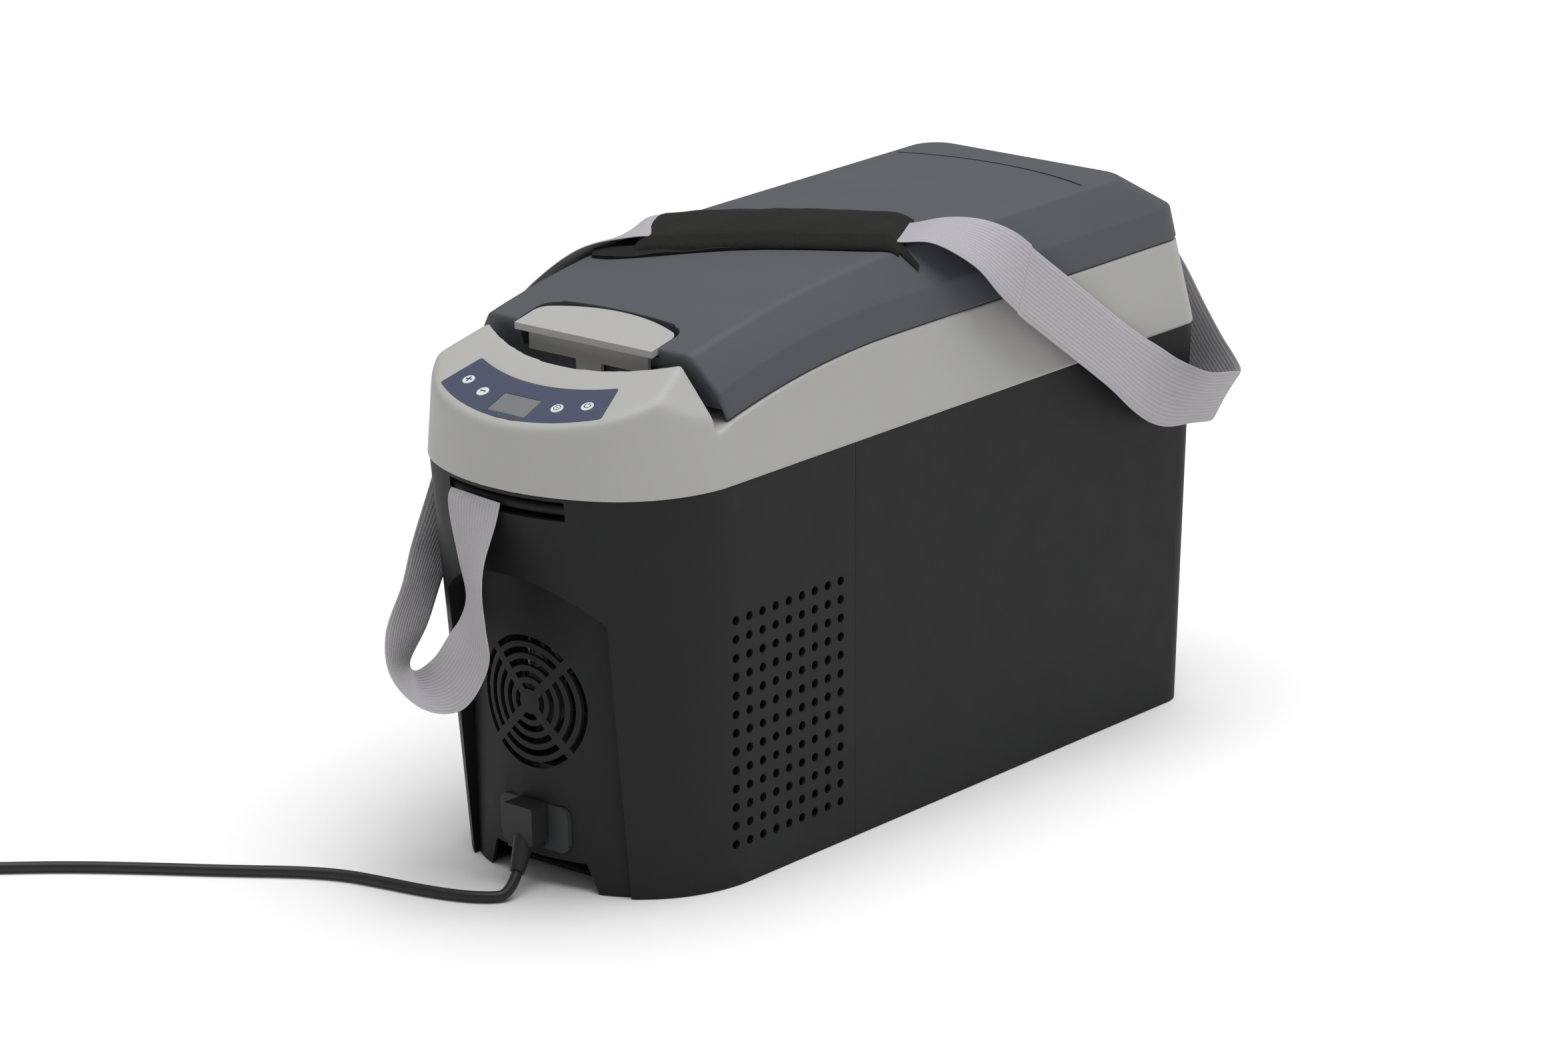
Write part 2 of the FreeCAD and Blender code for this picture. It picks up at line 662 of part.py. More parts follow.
def latch_outline(grow, front, low, high):
    """The latch's plan: straight front and sides, bowed rear with round corners."""
    half = v.latch_half + grow
    side_end = LATCH_REAR - 2.6 * v.latch_bow + grow
    solid = prism([
        Vector(-half, front, low), Vector(half, front, low), Vector(half, side_end, low),
        (Vector(0, LATCH_REAR + grow, low), Vector(-half, side_end, low)),
    ], Vector(0, 0, high - low))
    corners = [e for e in solid.Edges
               if e.BoundBox.ZLength > (high - low) / 2 and e.BoundBox.YMin > front + v.latch_bow]
    return solid.makeFillet(2 * v.latch_bow, corners)


def lid_cover():
    outer = lid_block().cut(rake_tool())
    pocket = latch_outline(2 * v.lid_gap, v.lid_front - FAR / 8, POCKET_FLOOR, LID_HIGH + v.lid_wall)
    lining = latch_outline(2 * v.lid_gap + v.lid_wall, v.lid_front - FAR / 8, POCKET_FLOOR - v.lid_wall,
                           LID_HIGH + v.lid_wall)
    room = lid_block(v.lid_wall).cut(rake_tool(v.lid_wall)).cut(lining)
    below = lid_underside(v.lid_wall)
    skin = outer.cut(pocket).cut(room).cut(below)
    for _, x in hinge_places():
        skin = skin.cut(hinge_pocket(x, -FAR, HINGE_Z + v.hinge_leaf))
    groove = groove_tool()
    return skin.cut(groove).removeSplitter()


def groove_tool():
    """The shallow arched line pressed into the top near the hinge end."""
    reach = lid_levels(0)[2][0] - v.lid_wall
    rear = lid_levels(0)[2][2]
    bow_y = rear - 3 * v.lid_wall - LID_GROOVE_IN
    radius = (reach ** 2 + LID_GROOVE_RISE ** 2) / (2 * LID_GROOVE_RISE)
    centre = Vector(0, bow_y - radius, LID_HIGH - LID_GROOVE_DEEP)
    outer = Part.makeCylinder(radius, v.lid_wall, centre)
    inner = Part.makeCylinder(radius - LID_GROOVE_WIDE, v.lid_wall, centre)
    window = block(-reach, reach, bow_y - LID_GROOVE_RISE, bow_y + v.lid_wall, 0, FAR)
    return outer.cut(inner).common(window)


LID_GROOVE_IN = 23.0
LID_GROOVE_RISE = 14.0
LID_GROOVE_DEEP = 0.8
LID_GROOVE_WIDE = 2.0


def lid_underside(depth):
    """Clears the cover's floor so that its skirt is open below."""
    room = lid_block(v.lid_wall).cut(rake_tool(v.lid_wall))
    low = room.copy()
    low.translate(Vector(0, 0, -depth))
    return low


def plug_block(shrink, low, high):
    inset = v.plug_gap + shrink
    return rounded_block(-TUB_HALF + inset, TUB_HALF - inset, TUB_FRONT + inset, v.tub_rear - inset,
                         low, high, v.tub_round - v.plug_gap - shrink)


LINER_TOP = LID_LOW + v.seal_width / 2 + v.liner_wall


def lid_liner():
    """Inner panel: a flange under the skirt's edge and a shallow plug that enters the tub."""
    room = lid_block(v.lid_wall + v.fit_gap)
    flange = block(-FAR, FAR, TUB_FRONT - 3 * v.seal_width, FAR, LINER_TOP - v.liner_wall, LINER_TOP)
    plug = plug_block(0, LID_LOW - v.plug_depth, LINER_TOP)
    hollow = plug_block(v.liner_wall, LID_LOW - v.plug_depth + v.liner_wall, LINER_TOP + v.liner_wall)
    panel = room.common(flange).fuse(plug).cut(hollow)
    for _, x in hinge_places():
        panel = panel.cut(hinge_pocket(x, -FAR, HINGE_Z + v.hinge_leaf))
    return panel.removeSplitter()


def lid_foam():
    """Insulation that fills the lid between its liner and its cover."""
    front = TUB_FRONT - 3 * v.seal_width
    room = lid_block(v.lid_wall + v.fit_gap)
    slab = room.common(block(-FAR, FAR, front, FAR, LINER_TOP + v.fit_gap, FAR))
    plug = plug_block(v.liner_wall + v.fit_gap, LID_LOW - v.plug_depth + v.liner_wall + v.fit_gap,
                      LINER_TOP + 2 * v.fit_gap)
    foam = slab.fuse(plug)
    for _, x in hinge_places():
        foam = foam.cut(hinge_pocket(x, -FAR, HINGE_Z + v.hinge_leaf + v.fit_gap))
    lining = latch_outline(2 * v.lid_gap + v.lid_wall + v.fit_gap, v.lid_front - FAR / 8,
                           POCKET_FLOOR - v.lid_wall - v.fit_gap, LID_HIGH + v.lid_wall)
    return foam.cut(lining).removeSplitter()


def lid_seal():
    """Soft gasket ring round the tub's mouth, in the step between liner and collar."""
    low = TOP + v.joint_gap
    high = LINER_TOP - v.liner_wall

    def ring_block(grow):
        return rounded_block(-TUB_HALF - grow, TUB_HALF + grow, TUB_FRONT - grow, v.tub_rear + grow,
                             low, high, v.tub_round + grow)

    return ring_block(v.seal_width + v.plug_gap).cut(ring_block(v.plug_gap))


# ---------------------------------------------------------------- latch and hinges

def latch_top(y):
    return brow_height(v.lid_front) + LATCH_SLOPE * (y - v.lid_front)


PIVOT_Y = LATCH_REAR - 3.6 * v.latch_thick
PIVOT_Z = latch_top(PIVOT_Y) - v.latch_thick
SKIRT_Y = v.lid_front + v.lid_gap
HOOK_LOW = POCKET_FLOOR - 2 * v.latch_hook
STRIKER_Y = SKIRT_Y + v.shell_wall + v.fit_gap * 2


def latch_slab(grow):
    """The layer of the lid's sloping top that the latch plate replaces."""
    x = -FAR
    f, r = LATCH_FRONT - v.latch_overhang, LATCH_REAR + v.latch_overhang
    return prism([
        Vector(x, f, latch_top(f) + grow), Vector(x, r, latch_top(r) + grow),
        Vector(x, r, latch_top(r) - v.latch_thick), Vector(x, f, latch_top(f) - v.latch_thick),
    ], Vector(2 * FAR, 0, 0))


def latch_handle():
    plate = latch_outline(0, LATCH_FRONT, POCKET_FLOOR, LID_HIGH).common(latch_slab(0))
    under = latch_top(SKIRT_Y) - v.latch_thick / 2
    half = v.latch_half - 2 * v.latch_overhang
    skirt = block(-half, half, SKIRT_Y, SKIRT_Y + v.shell_wall, POCKET_FLOOR + v.lid_gap, under)
    arm = block(-v.latch_hook, v.latch_hook, SKIRT_Y, SKIRT_Y + v.shell_wall, HOOK_LOW, under)
    knuckles = []
    for s in (-1, 1):
        x0, x1 = sorted((s * LUG_OUT, s * (LUG_OUT + v.latch_hook)))
        eye = Part.makeCylinder(LUG_RADIUS, x1 - x0, Vector(x0, PIVOT_Y, PIVOT_Z), Vector(1, 0, 0))
        web = block(x0, x1, PIVOT_Y - LUG_RADIUS, PIVOT_Y + LUG_RADIUS, PIVOT_Z,
                    latch_top(PIVOT_Y) - v.latch_thick / 2)
        knuckles += [eye, web]
    handle = plate.multiFuse([skirt, arm] + knuckles)
    trough = along_pin(LUG_RADIUS + v.joint_gap, LUG_OUT)
    bore = along_pin(v.latch_pin_radius + PIN_CLEAR, PIN_HALF + v.joint_gap)
    return handle.cut([trough, bore]).removeSplitter()


LUG_OUT = 24.0
LUG_RADIUS = 2.6
PIN_CLEAR = 0.05
PIN_HALF = LUG_OUT + v.latch_hook + LUG_RADIUS
STRIKER_HALF = v.latch_hook + 2 * v.latch_pin_radius


def along_pin(radius, half):
    """A cylinder round the latch's pivot."""
    return Part.makeCylinder(radius, 2 * half, Vector(-half, PIVOT_Y, PIVOT_Z), Vector(1, 0, 0))


def latch_pin():
    return along_pin(v.latch_pin_radius, PIN_HALF)


def latch_ears():
    """Two ears that rise from the pocket's floor and hold the latch pin."""
    ears = []
    near = LUG_OUT - v.joint_gap
    for s in (-1, 1):
        a, b = sorted((s * (near - LUG_RADIUS), s * near))
        eye = Part.makeCylinder(LUG_RADIUS, b - a, Vector(a, PIVOT_Y, PIVOT_Z), Vector(1, 0, 0))
        ears += [eye, block(a, b, PIVOT_Y - LUG_RADIUS, PIVOT_Y + LUG_RADIUS,
                            POCKET_FLOOR - v.lid_wall / 2, PIVOT_Z)]
    return ears[0].multiFuse(ears[1:]).cut(along_pin(v.latch_pin_radius + PIN_CLEAR, PIN_HALF))


def latch_spring():
    """Torsion spring round the latch pin: a close coil between the ears."""
    radius = v.latch_pin_radius + 2 * v.fit_gap + SPRING_WIRE
    turns = 6
    helix = Part.makeHelix(3 * SPRING_WIRE, 3 * SPRING_WIRE * turns, radius)
    wire = Part.Wire(helix.Edges)
    section = Part.Wire(Part.makeCircle(SPRING_WIRE, Vector(radius, 0, 0), Vector(0, 1, 0)))
    coil = wire.makePipeShell([section], True, True)
    coil.rotate(Vector(), Vector(0, 1, 0), 90)
    coil.translate(Vector(-1.5 * SPRING_WIRE * turns, PIVOT_Y, PIVOT_Z))
    return coil


SPRING_WIRE = 0.4


def latch_striker():
    """A staple on the collar's rim, just behind the latch hook."""
    low = lid_line(STRIKER_Y + v.shell_wall) + v.fit_gap
    high = HOOK_LOW + v.latch_hook
    outer = block(-STRIKER_HALF, STRIKER_HALF, STRIKER_Y, STRIKER_Y + v.shell_wall, low, high)
    half = STRIKER_HALF - v.shell_wall
    return outer.cut(block(-half, half, STRIKER_Y, STRIKER_Y + v.shell_wall, low, high - v.shell_wall))


def hinge_part(x, on_lid):
    """Barrel and leaf of one hinge: the lid's in the middle, the collar's at both ends."""
    third = v.hinge_length / 3
    middle = (x - third / 2 + v.fit_gap, x + third / 2 - v.fit_gap)
    ends = ((x - v.hinge_length / 2, x - third / 2 - v.fit_gap),
            (x + third / 2 + v.fit_gap, x + v.hinge_length / 2))
    pieces = []
    for x0, x1 in (middle,) if on_lid else ends:
        barrel = Part.makeCylinder(v.hinge_barrel, x1 - x0, Vector(x0, HINGE_Y, HINGE_Z), Vector(1, 0, 0))
        low, high = (HINGE_Z, HINGE_Z + v.hinge_leaf - v.fit_gap)
        if not on_lid:
            low, high = (HINGE_Z - v.hinge_leaf + v.fit_gap, HINGE_Z)
        pieces += [barrel, block(x0, x1, HINGE_Y - v.hinge_leaf, HINGE_Y, low, high)]
    if not on_lid:
        low = HINGE_Z - v.hinge_leaf + v.fit_gap
        pieces.append(block(x - v.hinge_length / 2, x + v.hinge_length / 2, HINGE_Y - v.hinge_leaf,
                            HINGE_Y, low, HINGE_Z - v.hinge_barrel - 2 * v.fit_gap))
    else:
        high = HINGE_Z + v.hinge_leaf - v.fit_gap
        pieces.append(block(x - v.hinge_length / 2, x + v.hinge_length / 2, HINGE_Y - v.hinge_leaf,
                            HINGE_Y, HINGE_Z + v.hinge_barrel + 2 * v.fit_gap, high))
    bore = Part.makeCylinder(v.hinge_bore + PIN_CLEAR, FAR, Vector(-FAR / 2, HINGE_Y, HINGE_Z),
                             Vector(1, 0, 0))
    return pieces[0].multiFuse(pieces[1:]).cut(bore).removeSplitter()


# ---------------------------------------------------------------- console controls

TILT = math.degrees(math.atan(v.console_rise))


def on_console(x, back, depth=0.0):
    """A point on the console face, `back` behind the front rim, `depth` under the face."""
    y = -v.shell_length / 2 + back
    lean = math.radians(TILT)
    return Vector(x, y + depth * math.sin(lean), console_height(y) - depth * math.cos(lean))


def tilted(solid, x, back, depth=0.0):
    """Place a piece drawn about the origin, face up, on the sloping console."""
    solid.rotate(Vector(), Vector(1, 0, 0), TILT)
    solid.translate(on_console(x, back, depth))
    return solid


OVERLAY_BACK = 27.0
OVERLAY_HALF_FRONT = 70.0
OVERLAY_HALF_REAR = 60.0
OVERLAY_FRONT = 21.0
OVERLAY_SIDE = 1.5
OVERLAY_SWEEP = 29.0
OVERLAY_REAR = 16.0


def overlay_outline(grow, low, high):
    """Crescent of the keypad, drawn flat about its own middle and then tilted."""
    wide, slim = OVERLAY_HALF_FRONT + grow, OVERLAY_HALF_REAR + grow
    solid = prism([
        Vector(-wide, -OVERLAY_SIDE, low),
        (Vector(0, -OVERLAY_FRONT - grow, low), Vector(wide, -OVERLAY_SIDE, low)),
        Vector(slim, OVERLAY_SWEEP - grow / 2, low),
        (Vector(0, OVERLAY_REAR + grow, low), Vector(-slim, OVERLAY_SWEEP - grow / 2, low)),
    ], Vector(0, 0, high - low))
    corners = [e for e in solid.Edges if e.BoundBox.ZLength > (high - low) / 2]
    return solid.makeFillet(4 * v.overlay_thick, corners)


def buttons():
    """Name, across and back position of each push button."""
    return (
        ("button_plus", -v.button_outer, v.button_outer_back),
        ("button_minus", -v.button_inner, v.button_inner_back),
        ("button_set", v.button_inner, v.button_inner_back),
        ("button_power", v.button_outer, v.button_outer_back),
    )


def lights():
    return (("indicator_run", -v.display_width / 8), ("indicator_fault", v.display_width / 4))


LIGHT_RADIUS = 1.2
LIGHT_BACK = 10.0
BOARD_DEPTH = 9.0


def drill(radius, x, back, depth=BOARD_DEPTH):
    return tilted(Part.makeCylinder(radius, 2 * depth, Vector(0, 0, -depth)), x, back)


def display_block(grow, low, high):
    w, d = v.display_width / 2 + grow, v.display_depth / 2 + grow
    return block(-w, w, -d, d, low, high)


def keypad_tool():
    """The console's shallow seat for the keypad, with holes for buttons, lights and display."""
    seat = tilted(overlay_outline(v.fit_gap, -v.overlay_thick, v.collar_wall), 0, OVERLAY_BACK)
    window = tilted(display_block(v.fit_gap, -BOARD_DEPTH, v.collar_wall), 0, v.display_back)
    holes = [drill(v.button_radius + v.fit_gap, x, back) for _, x, back in buttons()]
    holes += [drill(LIGHT_RADIUS + v.fit_gap, x, LIGHT_BACK) for _, x in lights()]
    return seat.multiFuse([window] + holes)


def control_overlay():
    film = tilted(overlay_outline(0, -v.overlay_thick, 0), 0, OVERLAY_BACK)
    window = tilted(display_block(v.fit_gap, -BOARD_DEPTH, v.collar_wall), 0, v.display_back)
    holes = [drill(v.button_radius + v.fit_gap, x, back) for _, x, back in buttons()]
    holes += [drill(LIGHT_RADIUS + v.fit_gap, x, LIGHT_BACK) for _, x in lights()]
    return film.cut([window] + holes)


BUTTON_STEM = BOARD_DEPTH - v.button_travel - v.fit_gap


def button(x, back):
    """Round cap with a stop collar under the console skin."""
    cap = Part.makeCylinder(v.button_radius, BUTTON_STEM + v.overlay_thick, Vector(0, 0, -BUTTON_STEM))
    rim = [e for e in cap.Edges if abs(e.BoundBox.ZMin - v.overlay_thick) < 0.1 and e.Closed]
    cap = cap.makeFillet(v.overlay_thick * 0.8, rim)
    stop = Part.makeCylinder(v.button_radius + 1, 1, Vector(0, 0, -BUTTON_STEM))
    return tilted(cap.fuse(stop), x, back)


def display_window():
    glass = display_block(0, -BOARD_DEPTH + v.fit_gap, -v.overlay_thick / 2)
    return tilted(glass, 0, v.display_back)


def indicator(x):
    return tilted(Part.makeCylinder(LIGHT_RADIUS, BOARD_DEPTH - v.fit_gap,
                                    Vector(0, 0, -BOARD_DEPTH + v.fit_gap)), x, LIGHT_BACK)


BOARD_HALF = 59.0
BOARD_THICK = 1.6


def control_board():
    """Circuit board under the console that carries the display, switches and lights."""
    board = block(-BOARD_HALF, BOARD_HALF, -13, 13, -BOARD_THICK, 0)
    parts = [board]
    for s in (-1, 1):
        parts.append(block(s * BOARD_HALF * 0.45 - 8, s * BOARD_HALF * 0.45 + 8, -5, 5, -BOARD_THICK - 4, 0))
    return tilted(parts[0].multiFuse(parts[1:]), 0, OVERLAY_BACK - 1, BOARD_DEPTH)


# ---------------------------------------------------------------- machinery in the compressor bay

PLATE_LOW = v.foot_height
PLATE_TOP = PLATE_LOW + v.plate_thick
BAY_SHRINK = v.shell_wall + v.joint_gap


def base_plate():
    slab = between(body_plan, PLATE_LOW, PLATE_TOP, BAY_SHRINK)
    slab = slab.cut(block(-FAR, FAR, SEAM_FRONT - v.joint_gap, FAR, -FAR, FAR))
    lining = alcove_prism(v.shell_wall + v.joint_gap).cut(
        between(upright_plan, -v.shell_wall, v.parting_height, v.alcove_depth + BAY_SHRINK))
    return slab.cut([lining, notch_tool(), inlet_block(v.joint_gap, -FAR / 2, ALCOVE_FACE + v.inlet_thick * 2)])


FAN_FRONT = ALCOVE_BACK + v.fan_size ** 2 / (8 * (v.front_bow - v.alcove_depth)) + v.fan_gap
FAN_BACK = FAN_FRONT + v.fan_depth


def fan_frame():
    """Square fan housing on four pillars that reach the alcove's back wall."""
    half = v.fan_size / 2
    body = rounded_block(-half, half, FAN_FRONT, FAN_BACK, v.fan_height - half, v.fan_height + half, 4, "y")
    bore = Part.makeCylinder(v.fan_bore / 2, FAR, Vector(0, -FAR / 2, v.fan_height), Vector(0, 1, 0))
    body = body.cut(bore)
    pillars = []
    for sx in (-1, 1):
        for sz in (-1, 1):
            at = Vector(sx * (half - 5), -FAR / 2, v.fan_height + sz * (half - 5))
            pillars.append(Part.makeCylinder(3.5, FAR / 2 + FAN_FRONT + 1, at, Vector(0, 1, 0)))
    inside = between(upright_plan, v.foot_lift, v.parting_height, v.alcove_depth + BAY_SHRINK)
    pillars = [p.common(inside) for p in pillars]
    spider = []
    for turn in (45, 135):
        strut = Part.makeBox(v.fan_bore + 4, 3, 5, Vector(-v.fan_bore / 2 - 2, 0, -2.5))
        strut.rotate(Vector(), Vector(0, 1, 0), turn)
        strut.translate(Vector(0, FAN_BACK - 3, v.fan_height))
        spider.append(strut)
    motor = Part.makeCylinder(v.fan_hub - 2, 3, Vector(0, FAN_BACK - 3, v.fan_height), Vector(0, 1, 0))
    axle = Part.makeCylinder(v.fan_axle, v.fan_depth - 8, Vector(0, FAN_FRONT + 8, v.fan_height), Vector(0, 1, 0))
    return body.multiFuse(pillars + spider + [motor, axle]).removeSplitter()


def fan_rotor():
    """Hub and twisted blades that spin on the frame's axle."""
    y = FAN_FRONT + 3
    deep = v.fan_depth - 8
    hub = Part.makeCylinder(v.fan_hub, deep, Vector(0, y, v.fan_height), Vector(0, 1, 0))
    tip = v.fan_bore / 2 - 1.5
    blades = []
    for i in range(int(v.fan_blades)):
        blade = Part.makeBox(tip - v.fan_hub + 2, 1.6, deep * 1.1, Vector(v.fan_hub - 2, -0.8, -deep * 0.55))
        blade.rotate(Vector(), Vector(1, 0, 0), v.fan_blade_pitch)
        blade.rotate(Vector(), Vector(1, 0, 0), 90)
        blade.rotate(Vector(), Vector(0, 1, 0), i * 360 / v.fan_blades)
        blade.translate(Vector(0, y + deep / 2, v.fan_height))
        blades.append(blade)
    sweep = Part.makeCylinder(tip, deep, Vector(0, y, v.fan_height), Vector(0, 1, 0))
    rotor = hub.multiFuse(blades).common(sweep)
    bore = Part.makeCylinder(v.fan_axle + PIN_CLEAR, deep, Vector(0, FAN_FRONT + 7, v.fan_height), Vector(0, 1, 0))
    return rotor.cut(bore).removeSplitter()


def condenser():
    """Finned block behind the fan: two headers, level fins and four upright tubes."""
    half = v.condenser_width / 2
    y0 = FAN_BACK + v.fan_gap
    y1 = y0 + v.condenser_depth
    z0, z1 = PLATE_TOP, PLATE_TOP + v.condenser_height
    parts = [block(-half, -half + 3, y0, y1, z0, z1), block(half - 3, half, y0, y1, z0, z1),
             block(-half, half, y0, y1, z0, z0 + 3), block(-half, half, y0, y1, z1 - 3, z1)]
    count = int(v.condenser_fins)
    for i in range(count):
        z = z0 + 3 + (i + 1) * (z1 - z0 - 6) / (count + 1)
        parts.append(block(-half + 1, half - 1, y0 + 1, y1 - 1, z, z + 1))
    for i in range(4):
        x = -half + (i + 0.5) * 2 * half / 4
        parts.append(Part.makeCylinder(3.5, z1 - z0 - 2, Vector(x, (y0 + y1) / 2, z0 + 1)))
    return parts[0].multiFuse(parts[1:]).removeSplitter()


COND_BACK = FAN_BACK + v.fan_gap + v.condenser_depth
COMP_X = -38.0
COMP_Y = SEAM_FRONT - v.compressor_radius - 16
BRACKET_LOW = PLATE_TOP + v.grommet_height
COMP_LOW = BRACKET_LOW + v.bracket_thick
COMP_HIGH = COMP_LOW + v.compressor_height


def tube(points, radius, bend):
    """A pipe of straight runs joined by arcs of one bend radius."""
    edges = []
    here = points[0]
    for before, corner, after in zip(points, points[1:], points[2:]):
        a = (before - corner).normalize()
        b = (after - corner).normalize()
        half = a.getAngle(b) / 2
        back = bend / math.tan(half)
        start, end = corner + a * back, corner + b * back
        middle = corner + (a + b).normalize() * (bend / math.sin(half) - bend)
        edges += [Part.LineSegment(here, start).toShape(), Part.Arc(start, middle, end).toShape()]
        here = end
    edges.append(Part.LineSegment(here, points[-1]).toShape())
    path = Part.Wire(edges)
    way = (points[1] - points[0]).normalize()
    section = Part.Wire(Part.makeCircle(radius, points[0], way))
    return path.makePipeShell([section], True, False)


def pipes():
    """Copper lines: to the condenser, and through the bulkhead to the cold side."""
    wall = SEAM_REAR - v.fit_gap
    top = COMP_HIGH + v.fit_gap
    mid = (COND_BACK + FAN_BACK + v.fan_gap) / 2
    high = PLATE_TOP + v.condenser_height + v.pipe_bend * 2
    drier_x = v.condenser_width / 2 + v.drier_radius + v.fit_gap
    discharge = [Vector(COMP_X + 14, COMP_Y, top), Vector(COMP_X + 14, COMP_Y, high),
                 Vector(COMP_X + 14, mid, high), Vector(COMP_X + 14, mid, PLATE_TOP + v.condenser_height + v.fit_gap)]
    suction = [Vector(COMP_X - 14, COMP_Y, top), Vector(COMP_X - 14, COMP_Y, high + 30),
               Vector(COMP_X - 14, wall, high + 30)]
    liquid = [Vector(drier_x, mid, v.drier_low + v.drier_height + v.fit_gap),
              Vector(drier_x, mid, high + 12), Vector(drier_x, wall, high + 12)]
    return (("discharge_pipe", discharge), ("suction_pipe", suction), ("liquid_pipe", liquid))


def power_module():
    """Finned electronics block beside the compressor."""
    x0 = COMP_X + v.compressor_radius + 20
    y1 = SEAM_FRONT - 6
    y0 = y1 - v.module_length
    core = block(x0, x0 + v.module_width, y0, y1, PLATE_TOP, PLATE_TOP + v.module_height)
    fins = []
    for i in range(6):
        y = y0 + (i + 0.5) * v.module_length / 6
        fins.append(block(x0, x0 + v.module_width, y - 1.2, y + 1.2, PLATE_TOP + v.module_height - 1,
                          PLATE_TOP + v.module_height + 12))
    return core.multiFuse(fins)


# ---------------------------------------------------------------- insulated box

def tub_block(grow, low, high):
    return rounded_block(-TUB_HALF - grow, TUB_HALF + grow, TUB_FRONT - grow, v.tub_rear + grow, low, high,
                         v.tub_round + grow)


TUB_TOP = FLANGE_LOW - v.fit_gap


def inner_tub():
    inner = tub_block(-v.tub_wall, v.tub_floor + v.tub_wall, TUB_TOP + v.tub_wall)
    rim = tub_block(v.tub_rim, TUB_TOP - v.tub_wall, TUB_TOP)
    outer = tub_block(0, v.tub_floor, TUB_TOP)
    floor = [e for e in outer.Edges if e.BoundBox.ZMax < v.tub_floor + 0.01]
    tub = outer.makeFillet(v.tub_wall * 3, floor).fuse(rim).cut(inner)
    return tub.cut(over_flange(v.collar_wall + v.fit_gap)).removeSplitter()


def evaporator():
    """Cold plate wrapped round the tub's walls."""
    low, high = v.tub_floor + v.evaporator_in, TUB_TOP - v.evaporator_in
    return tub_block(v.fit_gap + v.tub_wall, low, high).cut(tub_block(v.fit_gap, low, high))


def cabinet_insulation():
    """Foam between the tub and the shells."""
    shrink = v.shell_wall + v.joint_gap + v.lip_wall + v.joint_gap
    top = FLANGE_LOW - v.joint_gap
    lower = between(body_plan, v.foot_lift + v.shell_wall + v.fit_gap, v.parting_height, shrink)
    upper = between(collar_plan, v.parting_height - v.fit_gap, top, shrink + v.shell_step)
    foam = lower.fuse(upper).cut(block(-FAR, FAR, -FAR, SEAM_REAR + v.shell_wall + v.fit_gap, -FAR, FAR))
    tools = [tub_block(v.fit_gap, v.tub_floor - v.fit_gap, FAR),
             tub_block(2 * v.fit_gap + v.tub_wall, v.tub_floor + v.evaporator_in - v.fit_gap,
                       TUB_TOP - v.evaporator_in + v.fit_gap),
             tub_block(v.tub_rim + v.fit_gap, TUB_TOP - v.tub_wall - v.fit_gap, FAR),
             anchor_slot(1, v.shell_wall + v.joint_gap)]
    for _, x in hinge_places():
        pocket = block(x - v.hinge_length, x + v.hinge_length, HINGE_Y - v.hinge_leaf - 2 * v.collar_wall, FAR,
                       HINGE_Z - v.hinge_leaf - v.collar_wall, FAR)
        tools.append(pocket)
    tools.append(over_flange(v.collar_wall + v.joint_gap))
    return foam.cut(tools).removeSplitter()


# ---------------------------------------------------------------- inlet, lead and cord

INLET_MID = v.inlet_low + v.inlet_height / 2
PLUG_FRONT = ALCOVE_FACE - v.joint_gap
PLUG_LOW = INLET_MID - v.plug_height / 2 + v.inlet_round / 2


def inlet_plate():
    """Socket plate set in the alcove's back wall, with a pocket for the plug's nose."""
    plate = inlet_block(0, ALCOVE_FACE, ALCOVE_FACE + v.inlet_thick)
    half = v.plug_width / 2 - 2
    pocket = block(-half, half, ALCOVE_FACE, ALCOVE_FACE + v.inlet_thick - 2,
                   PLUG_LOW + 4, PLUG_LOW + v.plug_height - 4)
    return plate.cut(pocket)


def inlet_pins():
    """The two contacts in the socket."""
    z = PLUG_LOW + v.plug_height / 2
    back = ALCOVE_FACE + v.inlet_thick - 2
    return Part.makeCompound([
        Part.makeCylinder(v.pin_radius, v.inlet_thick - 3, Vector(x, back, z), Vector(0, -1, 0))
        for x in (-v.pin_spread, v.pin_spread)])


# Route of the lead: out of the plug's sleeve, down to the floor and away past the console end's left.
LEAD_Z = v.cord_radius + 0.1
ROUTE = [
    Vector(6, -292.5, 15.5), Vector(9.5, -303.5, LEAD_Z), Vector(0, -315, LEAD_Z), Vector(-18, -324, LEAD_Z),
    Vector(-44, -331, LEAD_Z), Vector(-74, -336, LEAD_Z), Vector(-103, -342, LEAD_Z),
    Vector(-131, -356, LEAD_Z), Vector(-168, -382, LEAD_Z), Vector(-212, -410, LEAD_Z),
    Vector(-256, -440, LEAD_Z), Vector(-291, -469, LEAD_Z), Vector(-323, -498, LEAD_Z),
]
COIL_MIDDLE = 40.0
COIL_TUBE = 11.0
COIL_Z = COIL_TUBE + 0.1
LEAD_WAY = (ROUTE[-1] - ROUTE[-2]).normalize()
COIL_CENTRE = ROUTE[-1] + LEAD_WAY * 30 + Vector(-LEAD_WAY.y, LEAD_WAY.x, 0) * COIL_MIDDLE
VEHICLE_LENGTH = 62.0
VEHICLE_RADIUS = 10.5
VEHICLE_TURN = 132.0


def route_radii(points):
    """Bend radius at each inner point: 0.45 of the shorter run over the tangent of half the turn."""
    radii = []
    for before, corner, after in zip(points, points[1:], points[2:]):
        turn = (corner - before).getAngle(after - corner)
        shorter = min((corner - before).Length, (after - corner).Length)
        radii.append(0.45 * shorter / math.tan(turn / 2))
    return radii


